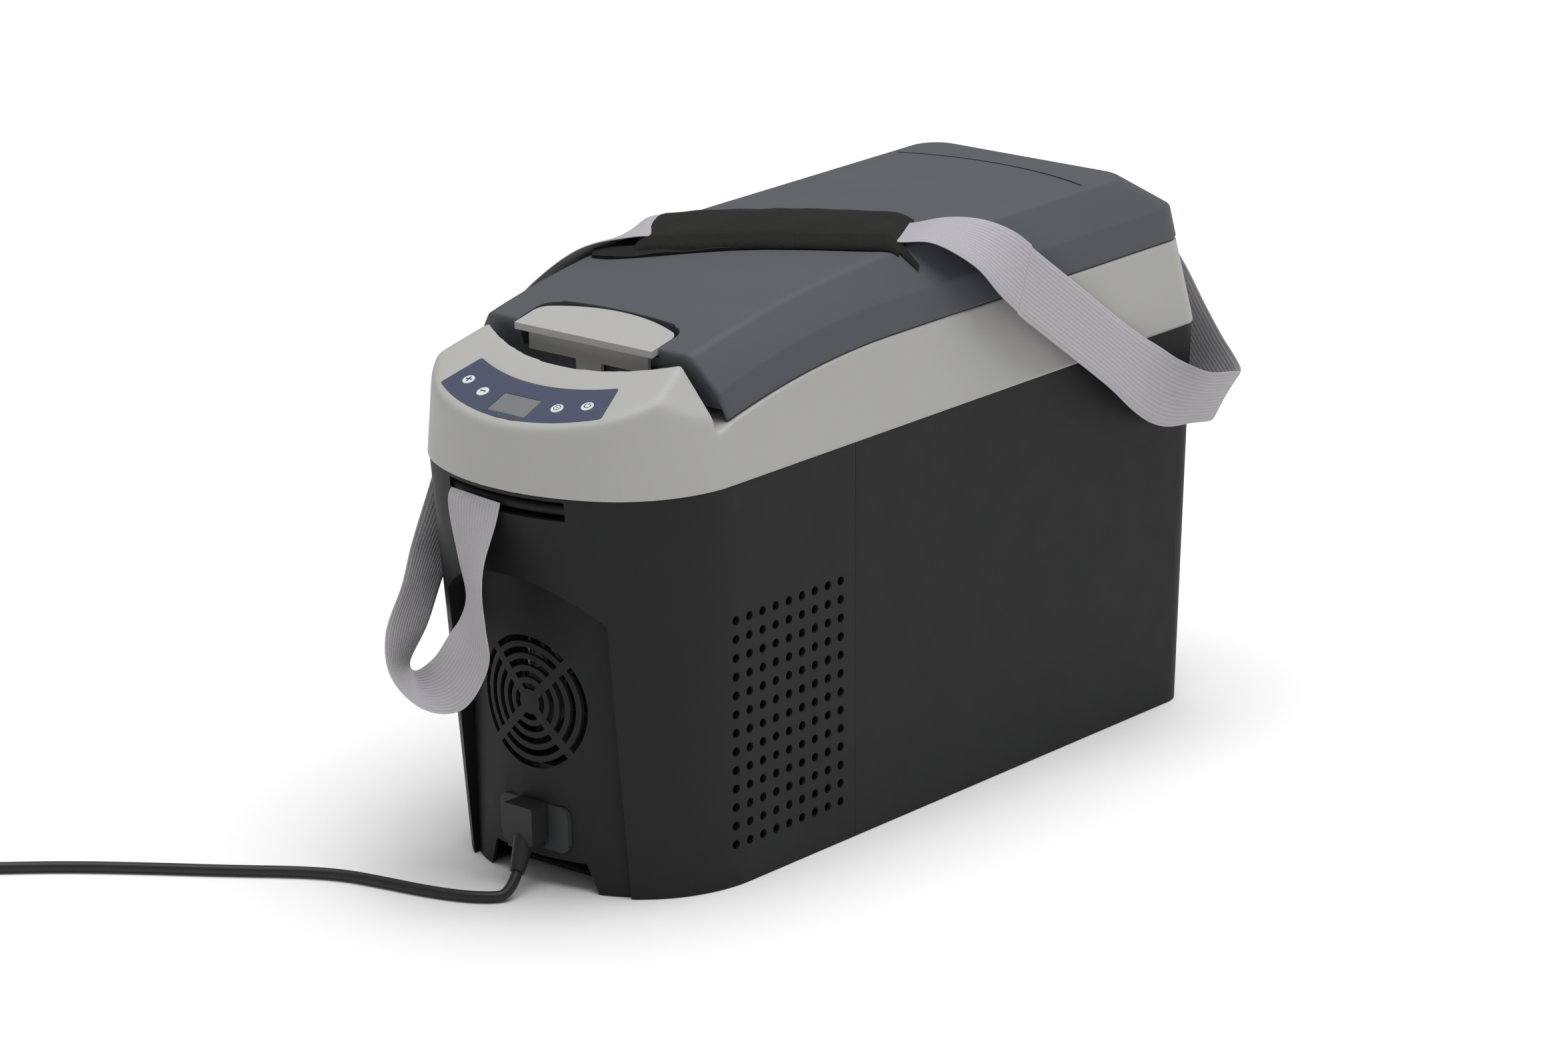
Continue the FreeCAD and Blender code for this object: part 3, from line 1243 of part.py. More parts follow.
def cord(points, radius):
    """The free lead: straight runs joined by tangent arcs of their own radii."""
    edges = []
    here = points[0]
    for before, corner, after, bend in zip(points, points[1:], points[2:], route_radii(points)):
        a = (before - corner).normalize()
        b = (after - corner).normalize()
        half = a.getAngle(b) / 2
        back = bend / math.tan(half)
        start, end = corner + a * back, corner + b * back
        middle = corner + (a + b).normalize() * (bend / math.sin(half) - bend)
        edges += [Part.LineSegment(here, start).toShape(), Part.Arc(start, middle, end).toShape()]
        here = end
    edges.append(Part.LineSegment(here, points[-1]).toShape())
    path = Part.Wire(edges)
    section = Part.Wire(Part.makeCircle(radius, points[0], (points[1] - points[0]).normalize()))
    solid = path.makePipeShell([section], True, False)
    return solid


def power_plug():
    """Angled plug: nose in the socket, body against the plate, sleeve that leans to the floor."""
    half = v.plug_width / 2
    reach = PLUG_FRONT - v.plug_reach
    body = rounded_block(-half, half, reach, PLUG_FRONT, PLUG_LOW, PLUG_LOW + v.plug_height, 2.5, "y")
    nose = block(-half + 3, half - 3, PLUG_FRONT, PLUG_FRONT + v.inlet_thick - 3, PLUG_LOW + 5,
                 PLUG_LOW + v.plug_height - 5)
    end = ROUTE[0]
    way = (ROUTE[1] - ROUTE[0]).normalize()
    start = Vector(0, PLUG_FRONT - v.plug_reach / 2, PLUG_LOW + 6)
    sleeve = Part.makeCone(v.cord_radius + 4, v.cord_radius + 1.2, (end - start).Length, start, end - start)
    collar_end = Part.makeCylinder(v.cord_radius + 1.2, 2, end - way * 2, way)
    throat = block(-10, 10, reach + 1, PLUG_FRONT - 1, PLUG_LOW - 4, PLUG_LOW + 3)
    plug = body.multiFuse([nose, throat, sleeve, collar_end])
    z = PLUG_LOW + v.plug_height / 2
    bores = [Part.makeCylinder(v.pin_radius + v.fit_gap, v.inlet_thick, Vector(x, ALCOVE_FACE + v.inlet_thick, z),
                               Vector(0, -1, 0)) for x in (-v.pin_spread, v.pin_spread)]
    cap = Part.makeBox(40, 40, 40, Vector(-20, -20, 0))
    cap.Placement = Placement(end, Rotation(Vector(0, 0, 1), way))
    return plug.cut(bores + [cap]).removeSplitter()



# ---------------------------------------------------------------- carry strap

def ribbon(stations):
    """A flat band through stations of (middle, half-width vector)."""
    sections = []
    count = len(stations)
    for i, (middle, half) in enumerate(stations):
        ahead = stations[min(i + 1, count - 1)][0]
        behind = stations[max(i - 1, 0)][0]
        normal = (ahead - behind).cross(half).normalize() * (v.strap_thick / 2)
        sections.append([middle + half + normal, middle - half + normal, middle - half - normal,
                         middle + half - normal])

    def rung(section, k):
        return Part.makePolygon([section[k], section[(k + 1) % 4]]).Edges[0]

    faces = [Part.Face(Part.makePolygon(end + end[:1])) for end in (sections[0], sections[-1])]
    for low, high in zip(sections, sections[1:]):
        faces += [Part.makeRuledSurface(rung(low, k), rung(high, k)) for k in range(4)]
    shell = Part.Shell(faces)
    shell.sewShape()
    solid = Part.Solid(shell)
    if solid.Volume < 0:
        solid.reverse()
    return solid


def wide(x, y, z):
    """Half-width vector of the webbing along a direction."""
    return Vector(x, y, z).normalize() * (v.strap_width / 2)


END = v.shell_length / 2


def strap_front():
    """Front run: from the bar out and down, round a hanging loop and up the left side."""
    face = -END + v.shell_step + v.strap_thick / 2
    lean = -22 / v.front_bow
    return ribbon([
        (Vector(-22, face + 2.3, ANCHOR_Z), wide(1, lean, 0)),
        (Vector(-22, face - 1.2, ANCHOR_Z - 10), wide(1, lean, 0)),
        (Vector(-16, -END - 8, ANCHOR_Z - 39), wide(0.87, -0.42, 0.2)),
        (Vector(-8, -END - 15, ANCHOR_Z - 59), wide(0.8, -0.53, 0.28)),
        (Vector(-5, -END - 20, ANCHOR_Z - 76), wide(0.88, -0.45, 0.15)),
        (Vector(-6, -END - 24, ANCHOR_Z - 94), wide(0.95, -0.28, -0.18)),
        (Vector(-20, -END - 29, ANCHOR_Z - 117), wide(0.85, -0.35, -0.42)),
        (Vector(-46, -END - 29, ANCHOR_Z - 127), wide(0.75, -0.62, -0.2)),
        (Vector(-71, -END - 21, ANCHOR_Z - 120), wide(0.5, -0.84, 0.1)),
        (Vector(-86, -END + 1, ANCHOR_Z - 101), wide(0.2, -0.97, 0.15)),
        (Vector(-HALF + 16, -END + 33, ANCHOR_Z - 80), wide(0.2, -0.95, 0.15)),
        (Vector(-HALF + 5, -END + 56, ANCHOR_Z - 65), wide(0.1, -0.95, 0.25)),
        (Vector(-HALF - 1, -END + 82, ANCHOR_Z - 42), wide(-0.1, -0.9, 0.35)),
        (Vector(-HALF - 5.5, -END + 104, ANCHOR_Z - 2), wide(-0.05, -0.75, 0.6)),
        (Vector(-HALF - 4.5, -END + 127, LID_LOW - 29), wide(0, -0.7, 0.7)),
    ])


def strap_over_left():
    """From the left side up over the lid's brow to the pad."""
    return ribbon([
        (Vector(-HALF - 3, -END + 138, LID_LOW - 11), wide(0, -0.7, 0.7)),
        (Vector(-HALF + 7, -END + 162, LID_HIGH - 27), wide(0.25, -0.75, 0.6)),
        (Vector(-HALF + 19, -END + 186, LID_HIGH), wide(0.5, -0.75, 0.35)),
        (PAD_LEFT, wide(0.52, -0.86, 0)),
    ])


PAD_LEFT = Vector(-78, -66, LID_HIGH + 3.4)
PAD_RIGHT = Vector(74, 27, LID_HIGH + 3.4)


def strap_over_right():
    """From the pad over the lid's right brow and a little way down its side."""
    return ribbon([
        (PAD_RIGHT, wide(0.52, -0.86, 0)),
        (Vector(92, 41, LID_HIGH + 4.5), wide(0.5, -0.84, -0.1)),
        (Vector(110, 58, LID_HIGH - 5), wide(0.5, -0.75, -0.4)),
        (Vector(HALF + 2, 75, LID_HIGH - 21), wide(0.3, -0.65, -0.68)),
        (Vector(HALF + 5, 88, LID_HIGH - 33), wide(0.25, -0.62, -0.74)),
    ])


def strap_rear():
    """Down the right side, out behind the hinge end's corner, and back up to the rear bar."""
    return ribbon([
        (Vector(HALF + 6, 92, LID_HIGH - 38), wide(0.25, -0.6, -0.75)),
        (Vector(HALF + 7, 136, LID_LOW - 24), wide(0.25, -0.6, -0.75)),
        (Vector(HALF + 10, 180, ANCHOR_Z + 11), wide(0.25, -0.57, -0.78)),
        (Vector(HALF + 13, 225, ANCHOR_Z - 16), wide(0.2, -0.5, -0.84)),
        (Vector(HALF + 18, END - 26, ANCHOR_Z - 33), wide(0.15, -0.2, -0.97)),
        (Vector(HALF + 15, END + 6, ANCHOR_Z - 34), wide(0, 0.1, -0.99)),
        (Vector(HALF, END + 23, ANCHOR_Z - 18), wide(-0.3, 0.1, -0.95)),
        (Vector(100, END + 26, ANCHOR_Z + 5), wide(-0.45, 0, -0.9)),
        (Vector(78, END + 24, ANCHOR_Z + 20), wide(-0.2, 0, -0.98)),
        (Vector(56, END + 20, ANCHOR_Z + 28), wide(0.25, 0, -0.97)),
        (Vector(34, END + 13, ANCHOR_Z + 27), wide(0.6, 0, -0.8)),
        (Vector(20, END + 7, ANCHOR_Z + 19), wide(0.9, 0, -0.45)),
        (Vector(12, END + 2.6, ANCHOR_Z + 9), wide(1, 0, 0)),
        (Vector(12, END - 2.5, ANCHOR_Z), wide(1, 0, 0)),
    ])


def shoulder_pad():
    """Soft sleeve that lies across the lid's top."""
    along = (PAD_RIGHT - PAD_LEFT)
    side = Vector(along.y, -along.x, 0).normalize() * 40
    inset = Vector(along.x, along.y, 0).normalize() * v.strap_gap
    a, b = PAD_LEFT + inset, PAD_RIGHT - inset
    flat = [Vector(p.x, p.y, LID_LOW) for p in (a - side, b - side, b + side, a + side)]
    column = prism(flat, Vector(0, 0, v.shell_width))
    top, low = lid_block(), lid_block()
    top.translate(Vector(0, 0, v.strap_gap + v.pad_thick))
    low.translate(Vector(0, 0, v.strap_gap))
    return column.common(top).cut(low)


def strap_bar(way):
    """The bar that crosses an anchor pocket, following the end wall."""
    x = v.anchor_length / 2 - v.fit_gap
    part = 1 - ANCHOR_Z / v.parting_height
    if way < 0:
        radius = v.front_bow - v.shell_step - ANCHOR_OFF
        x -= v.anchor_radius * x / radius
        front = -v.shell_length / 2 + v.taper_front * part + v.shell_step + ANCHOR_OFF
        def on_arc(px):
            return Vector(px, front + radius - math.sqrt(radius ** 2 - px ** 2), ANCHOR_Z)
        path = Part.Wire([Part.Arc(on_arc(-x), on_arc(0), on_arc(x)).toShape()])
        start = on_arc(-x)
        out = path.Edges[0].tangentAt(path.Edges[0].FirstParameter)
    else:
        y = v.shell_length / 2 - v.taper_rear * part - v.shell_step - ANCHOR_OFF
        start = Vector(-x, y, ANCHOR_Z)
        path = Part.Wire([Part.LineSegment(start, Vector(x, y, ANCHOR_Z)).toShape()])
        out = Vector(1, 0, 0)
    section = Part.Wire(Part.makeCircle(v.anchor_radius, start, out))
    return path.makePipeShell([section], True, True)


# ---------------------------------------------------------------- the document's objects

SHAPED = (
    ("front_housing", front_housing), ("rear_housing", rear_housing), ("base_plate", base_plate),
    ("collar", collar), ("inner_tub", inner_tub), ("evaporator_plate", evaporator),
    ("cabinet_insulation", cabinet_insulation), ("condenser", condenser), ("fan_frame", fan_frame),
    ("fan_rotor", fan_rotor), ("power_module", power_module), ("control_overlay", control_overlay),
    ("display_window", display_window), ("control_board", control_board), ("inlet_plate", inlet_plate),
    ("inlet_pins", inlet_pins), ("power_plug", power_plug), ("lid_liner", lid_liner),
    ("lid_foam", lid_foam), ("lid_seal", lid_seal), ("latch_handle", latch_handle),
    ("latch_spring", latch_spring), ("latch_striker", latch_striker), ("strap_front", strap_front),
    ("strap_over_left", strap_over_left), ("strap_over_right", strap_over_right),
    ("strap_rear", strap_rear), ("shoulder_pad", shoulder_pad),
)
for label, make in SHAPED:
    keep(shaped(label, make()), label)
keep(shaped("lid_cover", lid_cover().fuse(latch_ears()).removeSplitter()), "lid_cover")
keep(shaped("power_cord", cord(ROUTE, v.cord_radius)), "power_cord")
for label, points in pipes():
    keep(shaped(label, tube(points, v.pipe_radius, v.pipe_bend)), label)
for label, x, back in buttons():
    keep(shaped(label, button(x, back)), label)
for label, x in lights():
    keep(shaped(label, indicator(x)), label)
for label, way in (("strap_bar_front", -1), ("strap_bar_rear", 1)):
    keep(shaped(label, strap_bar(way)), label)
for side, x in hinge_places():
    keep(shaped("hinge_frame_" + side, hinge_part(x, False)), "hinge_frame_" + side)
    keep(shaped("hinge_lid_" + side, hinge_part(x, True)), "hinge_lid_" + side)
    pin = cylinder("hinge_pin_" + side, "hinge_bore", "hinge_length", str(x - v.hinge_length / 2),
                   str(HINGE_Y), str(HINGE_Z), "x")
    keep(pin, "hinge_pin_" + side)
keep(shaped("latch_pin", latch_pin()), "latch_pin")

for label, x, y in foot_places():
    foot = turned(label + "_body", (("0", "0"), ("foot_radius - 1", "0"), ("foot_radius", "1"),
                                    ("foot_radius", "foot_height"), ("0", "foot_height")),
                  str(x), str(y), "0")
    keep(foot, label)

vessel = turned("compressor_body", (
    ("0", "0"), ("compressor_radius * 0.7", "0"), ("compressor_radius * 0.93", "6"),
    ("compressor_radius", "16"), ("compressor_radius", "compressor_height - 26"),
    ("compressor_radius * 0.94", "compressor_height - 14"),
    ("compressor_radius * 0.75", "compressor_height - 4"), ("compressor_radius * 0.5", "compressor_height"),
    ("0", "compressor_height")), str(COMP_X), str(COMP_Y), str(COMP_LOW))
keep(vessel, "compressor")

bracket, outline = body_with_sketch("compressor_bracket_body", "XY_Plane")
draw_polygon(outline, (
    ("-(compressor_radius)", "-(compressor_radius)"), ("compressor_radius", "-(compressor_radius)"),
    ("compressor_radius", "compressor_radius"), ("-(compressor_radius)", "compressor_radius")))
pad(bracket, outline, "bracket_thick")
place(bracket, str(COMP_X), str(COMP_Y), str(BRACKET_LOW))
keep(bracket, "compressor_bracket")

GROMMETS = (("grommet_front", 0, -1), ("grommet_left", -1, 0.8), ("grommet_right", 1, 0.8))
for label, gx, gy in GROMMETS:
    spread = v.compressor_radius - v.grommet_radius - 1
    grommet = turned(label + "_body", (
        ("0", "0"), ("grommet_radius", "0"), ("grommet_radius", "grommet_height * 0.3"),
        ("grommet_radius * 0.75", "grommet_height * 0.45"), ("grommet_radius * 0.75", "grommet_height * 0.55"),
        ("grommet_radius", "grommet_height * 0.7"), ("grommet_radius", "grommet_height"),
        ("0", "grommet_height")), str(COMP_X + gx * spread), str(COMP_Y + gy * spread), str(PLATE_TOP))
    keep(grommet, label)

drier = turned("filter_drier_body", (
    ("0", "0"), ("pipe_radius * 1.2", "0"), ("drier_radius", "drier_radius"),
    ("drier_radius", "drier_height - drier_radius"), ("pipe_radius * 1.2", "drier_height"),
    ("0", "drier_height")), str(v.condenser_width / 2 + v.drier_radius + v.fit_gap),
    str((COND_BACK + FAN_BACK + v.fan_gap) / 2), str(v.drier_low))
keep(drier, "filter_drier")

coil = doc.addObject("Part::Torus", "cord_coil_form")
coil.Radius1 = COIL_MIDDLE
coil.Radius2 = COIL_TUBE
coil.Placement = Placement(Vector(COIL_CENTRE.x, COIL_CENTRE.y, COIL_Z), Rotation())
keep(coil, "cord_coil")

turn = math.radians(VEHICLE_TURN)
tangent = Vector(-math.sin(turn), math.cos(turn), 0)
tail = Vector(COIL_CENTRE.x, COIL_CENTRE.y, COIL_Z)
tail += Vector(math.cos(turn), math.sin(turn), 0) * COIL_MIDDLE + tangent * (COIL_MIDDLE * 0.7)
R, LONG = VEHICLE_RADIUS, VEHICLE_LENGTH
profile = ((0, 0), (R * 0.42, 0), (R * 0.5, 13), (R * 0.95, 20), (R, 24), (R, LONG - 26), (R * 0.88, LONG - 24),
           (R * 0.88, LONG - 6), (R * 0.4, LONG - 3), (R * 0.35, LONG), (0, LONG))
vehicle = turned("vehicle_plug_body", tuple((str(a), str(b)) for a, b in profile), str(tail.x), str(tail.y),
                 str(tail.z), Rotation(Vector(0, 0, 1), tangent))
keep(vehicle, "vehicle_plug")

doc.recompute()

for obj in doc.Objects:
    if {"Invalid", "Error"} & set(obj.State):
        raise RuntimeError(f"{obj.Name} failed: {obj.State}")
for obj in nodes:
    if obj.Shape.isNull() or not obj.Shape.isValid():
        raise RuntimeError(f"{obj.Label} has no valid shape")

os.makedirs("parts", exist_ok=True)
for obj in nodes:
    obj.Shape.exportStep(f"parts/{obj.Label}.step")
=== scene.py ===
"""Looks for the portable compressor cooler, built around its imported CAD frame."""
import json
import math

import bmesh
import bpy
from mathutils import Matrix, Vector

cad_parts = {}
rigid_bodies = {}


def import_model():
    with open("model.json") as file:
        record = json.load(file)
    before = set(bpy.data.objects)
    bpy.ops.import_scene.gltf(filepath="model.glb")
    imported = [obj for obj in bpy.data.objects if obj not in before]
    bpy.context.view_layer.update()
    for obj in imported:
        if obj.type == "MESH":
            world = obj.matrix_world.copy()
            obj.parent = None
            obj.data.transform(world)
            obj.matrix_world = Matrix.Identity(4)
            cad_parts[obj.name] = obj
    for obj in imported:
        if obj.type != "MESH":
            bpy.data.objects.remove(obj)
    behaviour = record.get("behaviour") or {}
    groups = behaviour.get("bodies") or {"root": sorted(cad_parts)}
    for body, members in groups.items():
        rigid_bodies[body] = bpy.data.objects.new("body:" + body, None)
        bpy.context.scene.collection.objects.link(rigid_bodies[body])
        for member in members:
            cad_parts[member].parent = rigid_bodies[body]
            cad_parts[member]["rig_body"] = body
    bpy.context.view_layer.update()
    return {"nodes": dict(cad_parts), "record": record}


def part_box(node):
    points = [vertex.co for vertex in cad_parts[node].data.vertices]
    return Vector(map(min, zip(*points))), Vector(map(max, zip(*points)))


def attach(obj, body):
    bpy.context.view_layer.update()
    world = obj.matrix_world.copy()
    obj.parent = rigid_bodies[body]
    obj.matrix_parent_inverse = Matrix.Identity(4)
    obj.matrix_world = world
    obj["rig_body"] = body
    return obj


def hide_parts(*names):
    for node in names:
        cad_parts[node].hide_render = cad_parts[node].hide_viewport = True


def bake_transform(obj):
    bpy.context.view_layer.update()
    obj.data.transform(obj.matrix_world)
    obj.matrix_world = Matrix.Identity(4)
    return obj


MM = 0.001
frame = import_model()
nodes = frame["nodes"]
scene = bpy.context.scene

LID_LOW = 332.4
LID_HIGH = 380.0
LID_FRONT = -203.0


# ---------------------------------------------------------------- camera, light and floor

AZIMUTH, ELEVATION, ROLL = (math.radians(a) for a in (41.68, 17.43, -1.52))
TARGET = Vector((-18.16, 1.99, 172.68))
DISTANCE = 4007.9
LENS, SENSOR = 136.51, 36
SUN_DIRECTION = (-0.12, -0.08, -1)
FLOOR_REACH = 16
FLOOR_GAP = 0.0004


def make_camera():
    back = Vector((math.sin(AZIMUTH) * math.cos(ELEVATION), -math.cos(AZIMUTH) * math.cos(ELEVATION),
                   math.sin(ELEVATION)))
    right = Vector((math.cos(AZIMUTH), math.sin(AZIMUTH), 0))
    up = back.cross(right)
    across = right * math.cos(ROLL) + up * math.sin(ROLL)
    upward = up * math.cos(ROLL) - right * math.sin(ROLL)
    data = bpy.data.cameras.new("camera")
    data.sensor_width = SENSOR
    data.lens = LENS
    camera = bpy.data.objects.new("camera", data)
    scene.collection.objects.link(camera)
    turn = Matrix((across, upward, back)).transposed().to_4x4()
    camera.matrix_world = Matrix.Translation((TARGET + back * DISTANCE) * MM) @ turn
    scene.camera = camera


def make_studio():
    """A broad soft sun, an even white surround and a pale floor."""
    data = bpy.data.lights.new("sky_panel", "SUN")
    data.energy = 2.85
    data.angle = math.radians(55)
    panel = bpy.data.objects.new("sky_panel", data)
    panel.rotation_euler = Vector(SUN_DIRECTION).to_track_quat("-Z", "Y").to_euler()
    scene.collection.objects.link(panel)
    world = bpy.data.worlds.new("studio")
    scene.world = world
    world.use_nodes = True
    shade = world.node_tree.nodes["Background"]
    shade.inputs["Color"].default_value = (1, 1, 1, 1)
    shade.inputs["Strength"].default_value = 0.27
    scene.view_settings.view_transform = "Standard"
    scene.view_settings.look = "None"
    mesh = bpy.data.meshes.new("floor")
    corners = [(FLOOR_REACH * i, FLOOR_REACH * j, 0) for i, j in ((-1, -1), (1, -1), (1, 1), (-1, 1))]
    mesh.from_pydata(corners, [], [(0, 1, 2, 3)])
    floor = bpy.data.objects.new("floor", mesh)
    floor.location.z = -FLOOR_GAP
    scene.collection.objects.link(floor)
    floor.data.materials.append(plain("floor_paper", (0.93, 0.93, 0.93), 0.95, specular=0.1))


# ---------------------------------------------------------------- materials

class Paint:
    """A principled material with helpers for adding nodes."""

    def __init__(self, name, colour, rough, metallic=0.0, specular=0.5):
        self.material = bpy.data.materials.new(name)
        self.material.use_nodes = True
        self.material.diffuse_color = (*colour, 1)
        self.tree = self.material.node_tree
        self.shader = self.tree.nodes["Principled BSDF"]
        self.set(Base_Color=(*colour, 1), Roughness=rough, Metallic=metallic, Specular_IOR_Level=specular)
        self.colour = colour
        self.heights = []

    def set(self, **values):
        for key, value in values.items():
            self.shader.inputs[key.replace("_", " ")].default_value = value

    def node(self, kind, **values):
        node = self.tree.nodes.new(kind)
        for key, value in values.items():
            if key in node.inputs:
                node.inputs[key].default_value = value
            else:
                setattr(node, key, value)
        return node

    def link(self, out, into):
        self.tree.links.new(out, into)

    def place(self):
        return self.node("ShaderNodeTexCoord").outputs["Object"]

    def noise(self, scale, detail=2.0, rough=0.5, where=None):
        node = self.node("ShaderNodeTexNoise", Scale=scale, Detail=detail, Roughness=rough)
        self.link(where or self.place(), node.inputs["Vector"])
        return node.outputs["Fac"]

    def spread(self, fac, low, high):
        """Remap a 0 to 1 value to a range."""
        node = self.node("ShaderNodeMapRange")
        node.inputs["To Min"].default_value = low
        node.inputs["To Max"].default_value = high
        self.link(fac, node.inputs["Value"])
        return node.outputs["Result"]

    def tint(self, fac, amount):
        """Vary the base colour lighter and darker by a share."""
        ramp = self.node("ShaderNodeMix", data_type="RGBA")
        dark, light = ([c * k for c in self.colour] + [1] for k in (1 - amount, 1 + amount))
        ramp.inputs[6].default_value = dark
        ramp.inputs[7].default_value = light
        self.link(fac, ramp.inputs["Factor"])
        self.link(ramp.outputs[2], self.shader.inputs["Base Color"])

    def bump(self, height, strength, distance):
        node = self.node("ShaderNodeBump", Strength=strength, Distance=distance)
        self.link(height, node.inputs["Height"])
        if self.heights:
            self.link(self.heights[-1], node.inputs["Normal"])
        self.heights.append(node.outputs["Normal"])
        self.link(node.outputs["Normal"], self.shader.inputs["Normal"])


def plain(name, colour, rough, metallic=0.0, specular=0.5):
    return Paint(name, colour, rough, metallic, specular).material


def grained(name, colour, rough, grain=2600, depth=0.00004, strength=0.35, specular=0.4, mottling=0.06):
    """Moulded plastic: spark-eroded grain, faint cloudy colour and handling marks in the gloss."""
    paint = Paint(name, colour, rough, specular=specular)
    paint.bump(paint.noise(grain, 3), strength, depth)
    paint.bump(paint.noise(9, 2), 0.12, 0.0012)
    paint.tint(paint.noise(18, 4), mottling)
    paint.link(paint.spread(paint.noise(40, 5, 0.65), rough - 0.06, rough + 0.08),
               paint.shader.inputs["Roughness"])
    return paint.material


def metal(name, colour, rough, brush=(8, 8, 900), strength=0.12):
    paint = Paint(name, colour, rough, metallic=1.0)
    mapping = paint.node("ShaderNodeMapping")
    mapping.inputs["Scale"].default_value = brush
    paint.link(paint.place(), mapping.inputs["Vector"])
    streaks = paint.noise(1.0, 4, 0.6, mapping.outputs["Vector"])
    paint.bump(streaks, strength, 0.0001)
    paint.link(paint.spread(streaks, rough - 0.08, rough + 0.12), paint.shader.inputs["Roughness"])
    paint.tint(paint.noise(60, 3), 0.08)
    return paint.material


def woven(name, colour):
    """Webbing: lengthwise cords, a cross twill and fuzz, laid out along the ribbon's own coordinates."""
    paint = Paint(name, colour, 0.85, specular=0.2)
    paint.set(Sheen_Weight=0.08, Sheen_Roughness=0.5)
    uv = paint.node("ShaderNodeUVMap", uv_map="ribbon").outputs["UV"]
    split = paint.node("ShaderNodeSeparateXYZ")
    paint.link(uv, split.inputs["Vector"])

    def wave(axis, per_metre, phase=0.0):
        scaled = paint.node("ShaderNodeMath", operation="MULTIPLY_ADD")
        scaled.inputs[1].default_value = per_metre * 2 * math.pi
        scaled.inputs[2].default_value = phase
        paint.link(axis, scaled.inputs[0])
        sine = paint.node("ShaderNodeMath", operation="SINE")
        paint.link(scaled.outputs[0], sine.inputs[0])
        return sine.outputs[0]

    def join(kind, a, b):
        node = paint.node("ShaderNodeMath", operation=kind)
        paint.link(a, node.inputs[0])
        if isinstance(b, float):
            node.inputs[1].default_value = b
        else:
            paint.link(b, node.inputs[1])
        return node.outputs[0]

    across, along = split.outputs["X"], split.outputs["Y"]
    ribs = wave(across, 330.0)
    cords = join("MULTIPLY_ADD", ribs, 0.9)
    picks = wave(along, 620.0)
    weave = join("MULTIPLY", picks, join("ABSOLUTE", ribs, 0.0))
    height = join("ADD", join("MULTIPLY", cords, 0.7), join("MULTIPLY", weave, 0.4))
    level = paint.node("ShaderNodeMapRange")
    for key, value in (("From Min", -1.6), ("From Max", 1.6)):
        level.inputs[key].default_value = value
    paint.link(height, level.inputs["Value"])
    paint.bump(level.outputs["Result"], 0.75, 0.0006)
    # painted shade: the tint follows the weave height, lighter on the raised cords and darker in the grooves
    # between them
    paint.tint(level.outputs["Result"], 0.2)
    paint.bump(paint.noise(3500, 2), 0.25, 0.0001)
    return paint.material


def cloth(name, colour):
    """Padded cover: fine plain weave with soft creasing."""
    paint = Paint(name, colour, 0.9, specular=0.2)
    paint.set(Sheen_Weight=0.04, Sheen_Roughness=0.55)
    paint.bump(paint.noise(22, 4, 0.6), 0.5, 0.003)
    weave = paint.node("ShaderNodeTexVoronoi", Scale=1500)
    paint.link(paint.place(), weave.inputs["Vector"])
    paint.bump(weave.outputs["Distance"], 0.5, 0.0003)
    paint.tint(paint.noise(500, 3), 0.3)
    return paint.material


def frosted(name, colour, rough=0.25, coat=0.3, glow=0.0):
    """Smooth glossy window, film or lens."""
    paint = Paint(name, colour, rough, specular=0.5)
    paint.set(Coat_Weight=coat, Coat_Roughness=0.1)
    paint.bump(paint.noise(700, 2), 0.03, 0.00005)
    paint.tint(paint.noise(30, 2), 0.03)
    if glow:
        paint.set(Emission_Color=(*colour, 1), Emission_Strength=glow)
    return paint.material


PAINTS = {
    "shell_charcoal": grained("shell_charcoal", (0.016, 0.0163, 0.017), 0.58, specular=0.2),
    "trim_grey": grained("trim_grey", (0.435, 0.432, 0.415), 0.48, specular=0.3, grain=3200,
                          strength=0.2, mottling=0.02),
    "lid_slate": grained("lid_slate", (0.086, 0.093, 0.104), 0.55, specular=0.25, grain=1500,
                          strength=0.5, depth=0.00008),
    "inner_liner": frosted("inner_liner", (0.74, 0.75, 0.75), 0.3, 0.15),
    "foam": grained("foam", (0.78, 0.68, 0.42), 0.9, grain=900, strength=0.8, depth=0.0003),
    "seal_rubber": grained("seal_rubber", (0.02, 0.02, 0.021), 0.7),
    "steel_bright": metal("steel_bright", (0.62, 0.62, 0.63), 0.28),
    "black_plastic": grained("black_plastic", (0.018, 0.018, 0.019), 0.45),
    "compressor_enamel": grained("compressor_enamel", (0.012, 0.012, 0.013), 0.25, grain=300, specular=0.5),
    "steel_plate": metal("steel_plate", (0.42, 0.43, 0.44), 0.4, (500, 8, 8)),
    "aluminium_plate": metal("aluminium_plate", (0.80, 0.81, 0.82), 0.35, (8, 600, 8)),
    "copper": metal("copper", (0.74, 0.36, 0.20), 0.3, (300, 300, 8)),
    "overlay_blue": frosted("overlay_blue", (0.052, 0.064, 0.115), 0.45, 0.08),
    "display_glass": frosted("display_glass", (0.19, 0.195, 0.2), 0.3, 0.15),
    "board_green": grained("board_green", (0.02, 0.13, 0.06), 0.35),
    "indicator_green": frosted("indicator_green", (0.05, 0.16, 0.07), 0.2, 0.5),
    "indicator_red": frosted("indicator_red", (0.2, 0.05, 0.04), 0.2, 0.5),
    "button_white": grained("button_white", (0.70, 0.72, 0.75), 0.35, strength=0.1, mottling=0.01),
    "socket_grey": grained("socket_grey", (0.045, 0.047, 0.051), 0.5, specular=0.25),
    "webbing_grey": woven("webbing_grey", (0.41, 0.398, 0.42)),
    "pad_black": cloth("pad_black", (0.011, 0.011, 0.010)),
    "cord_rubber": grained("cord_rubber", (0.016, 0.016, 0.017), 0.45, grain=1200),
}

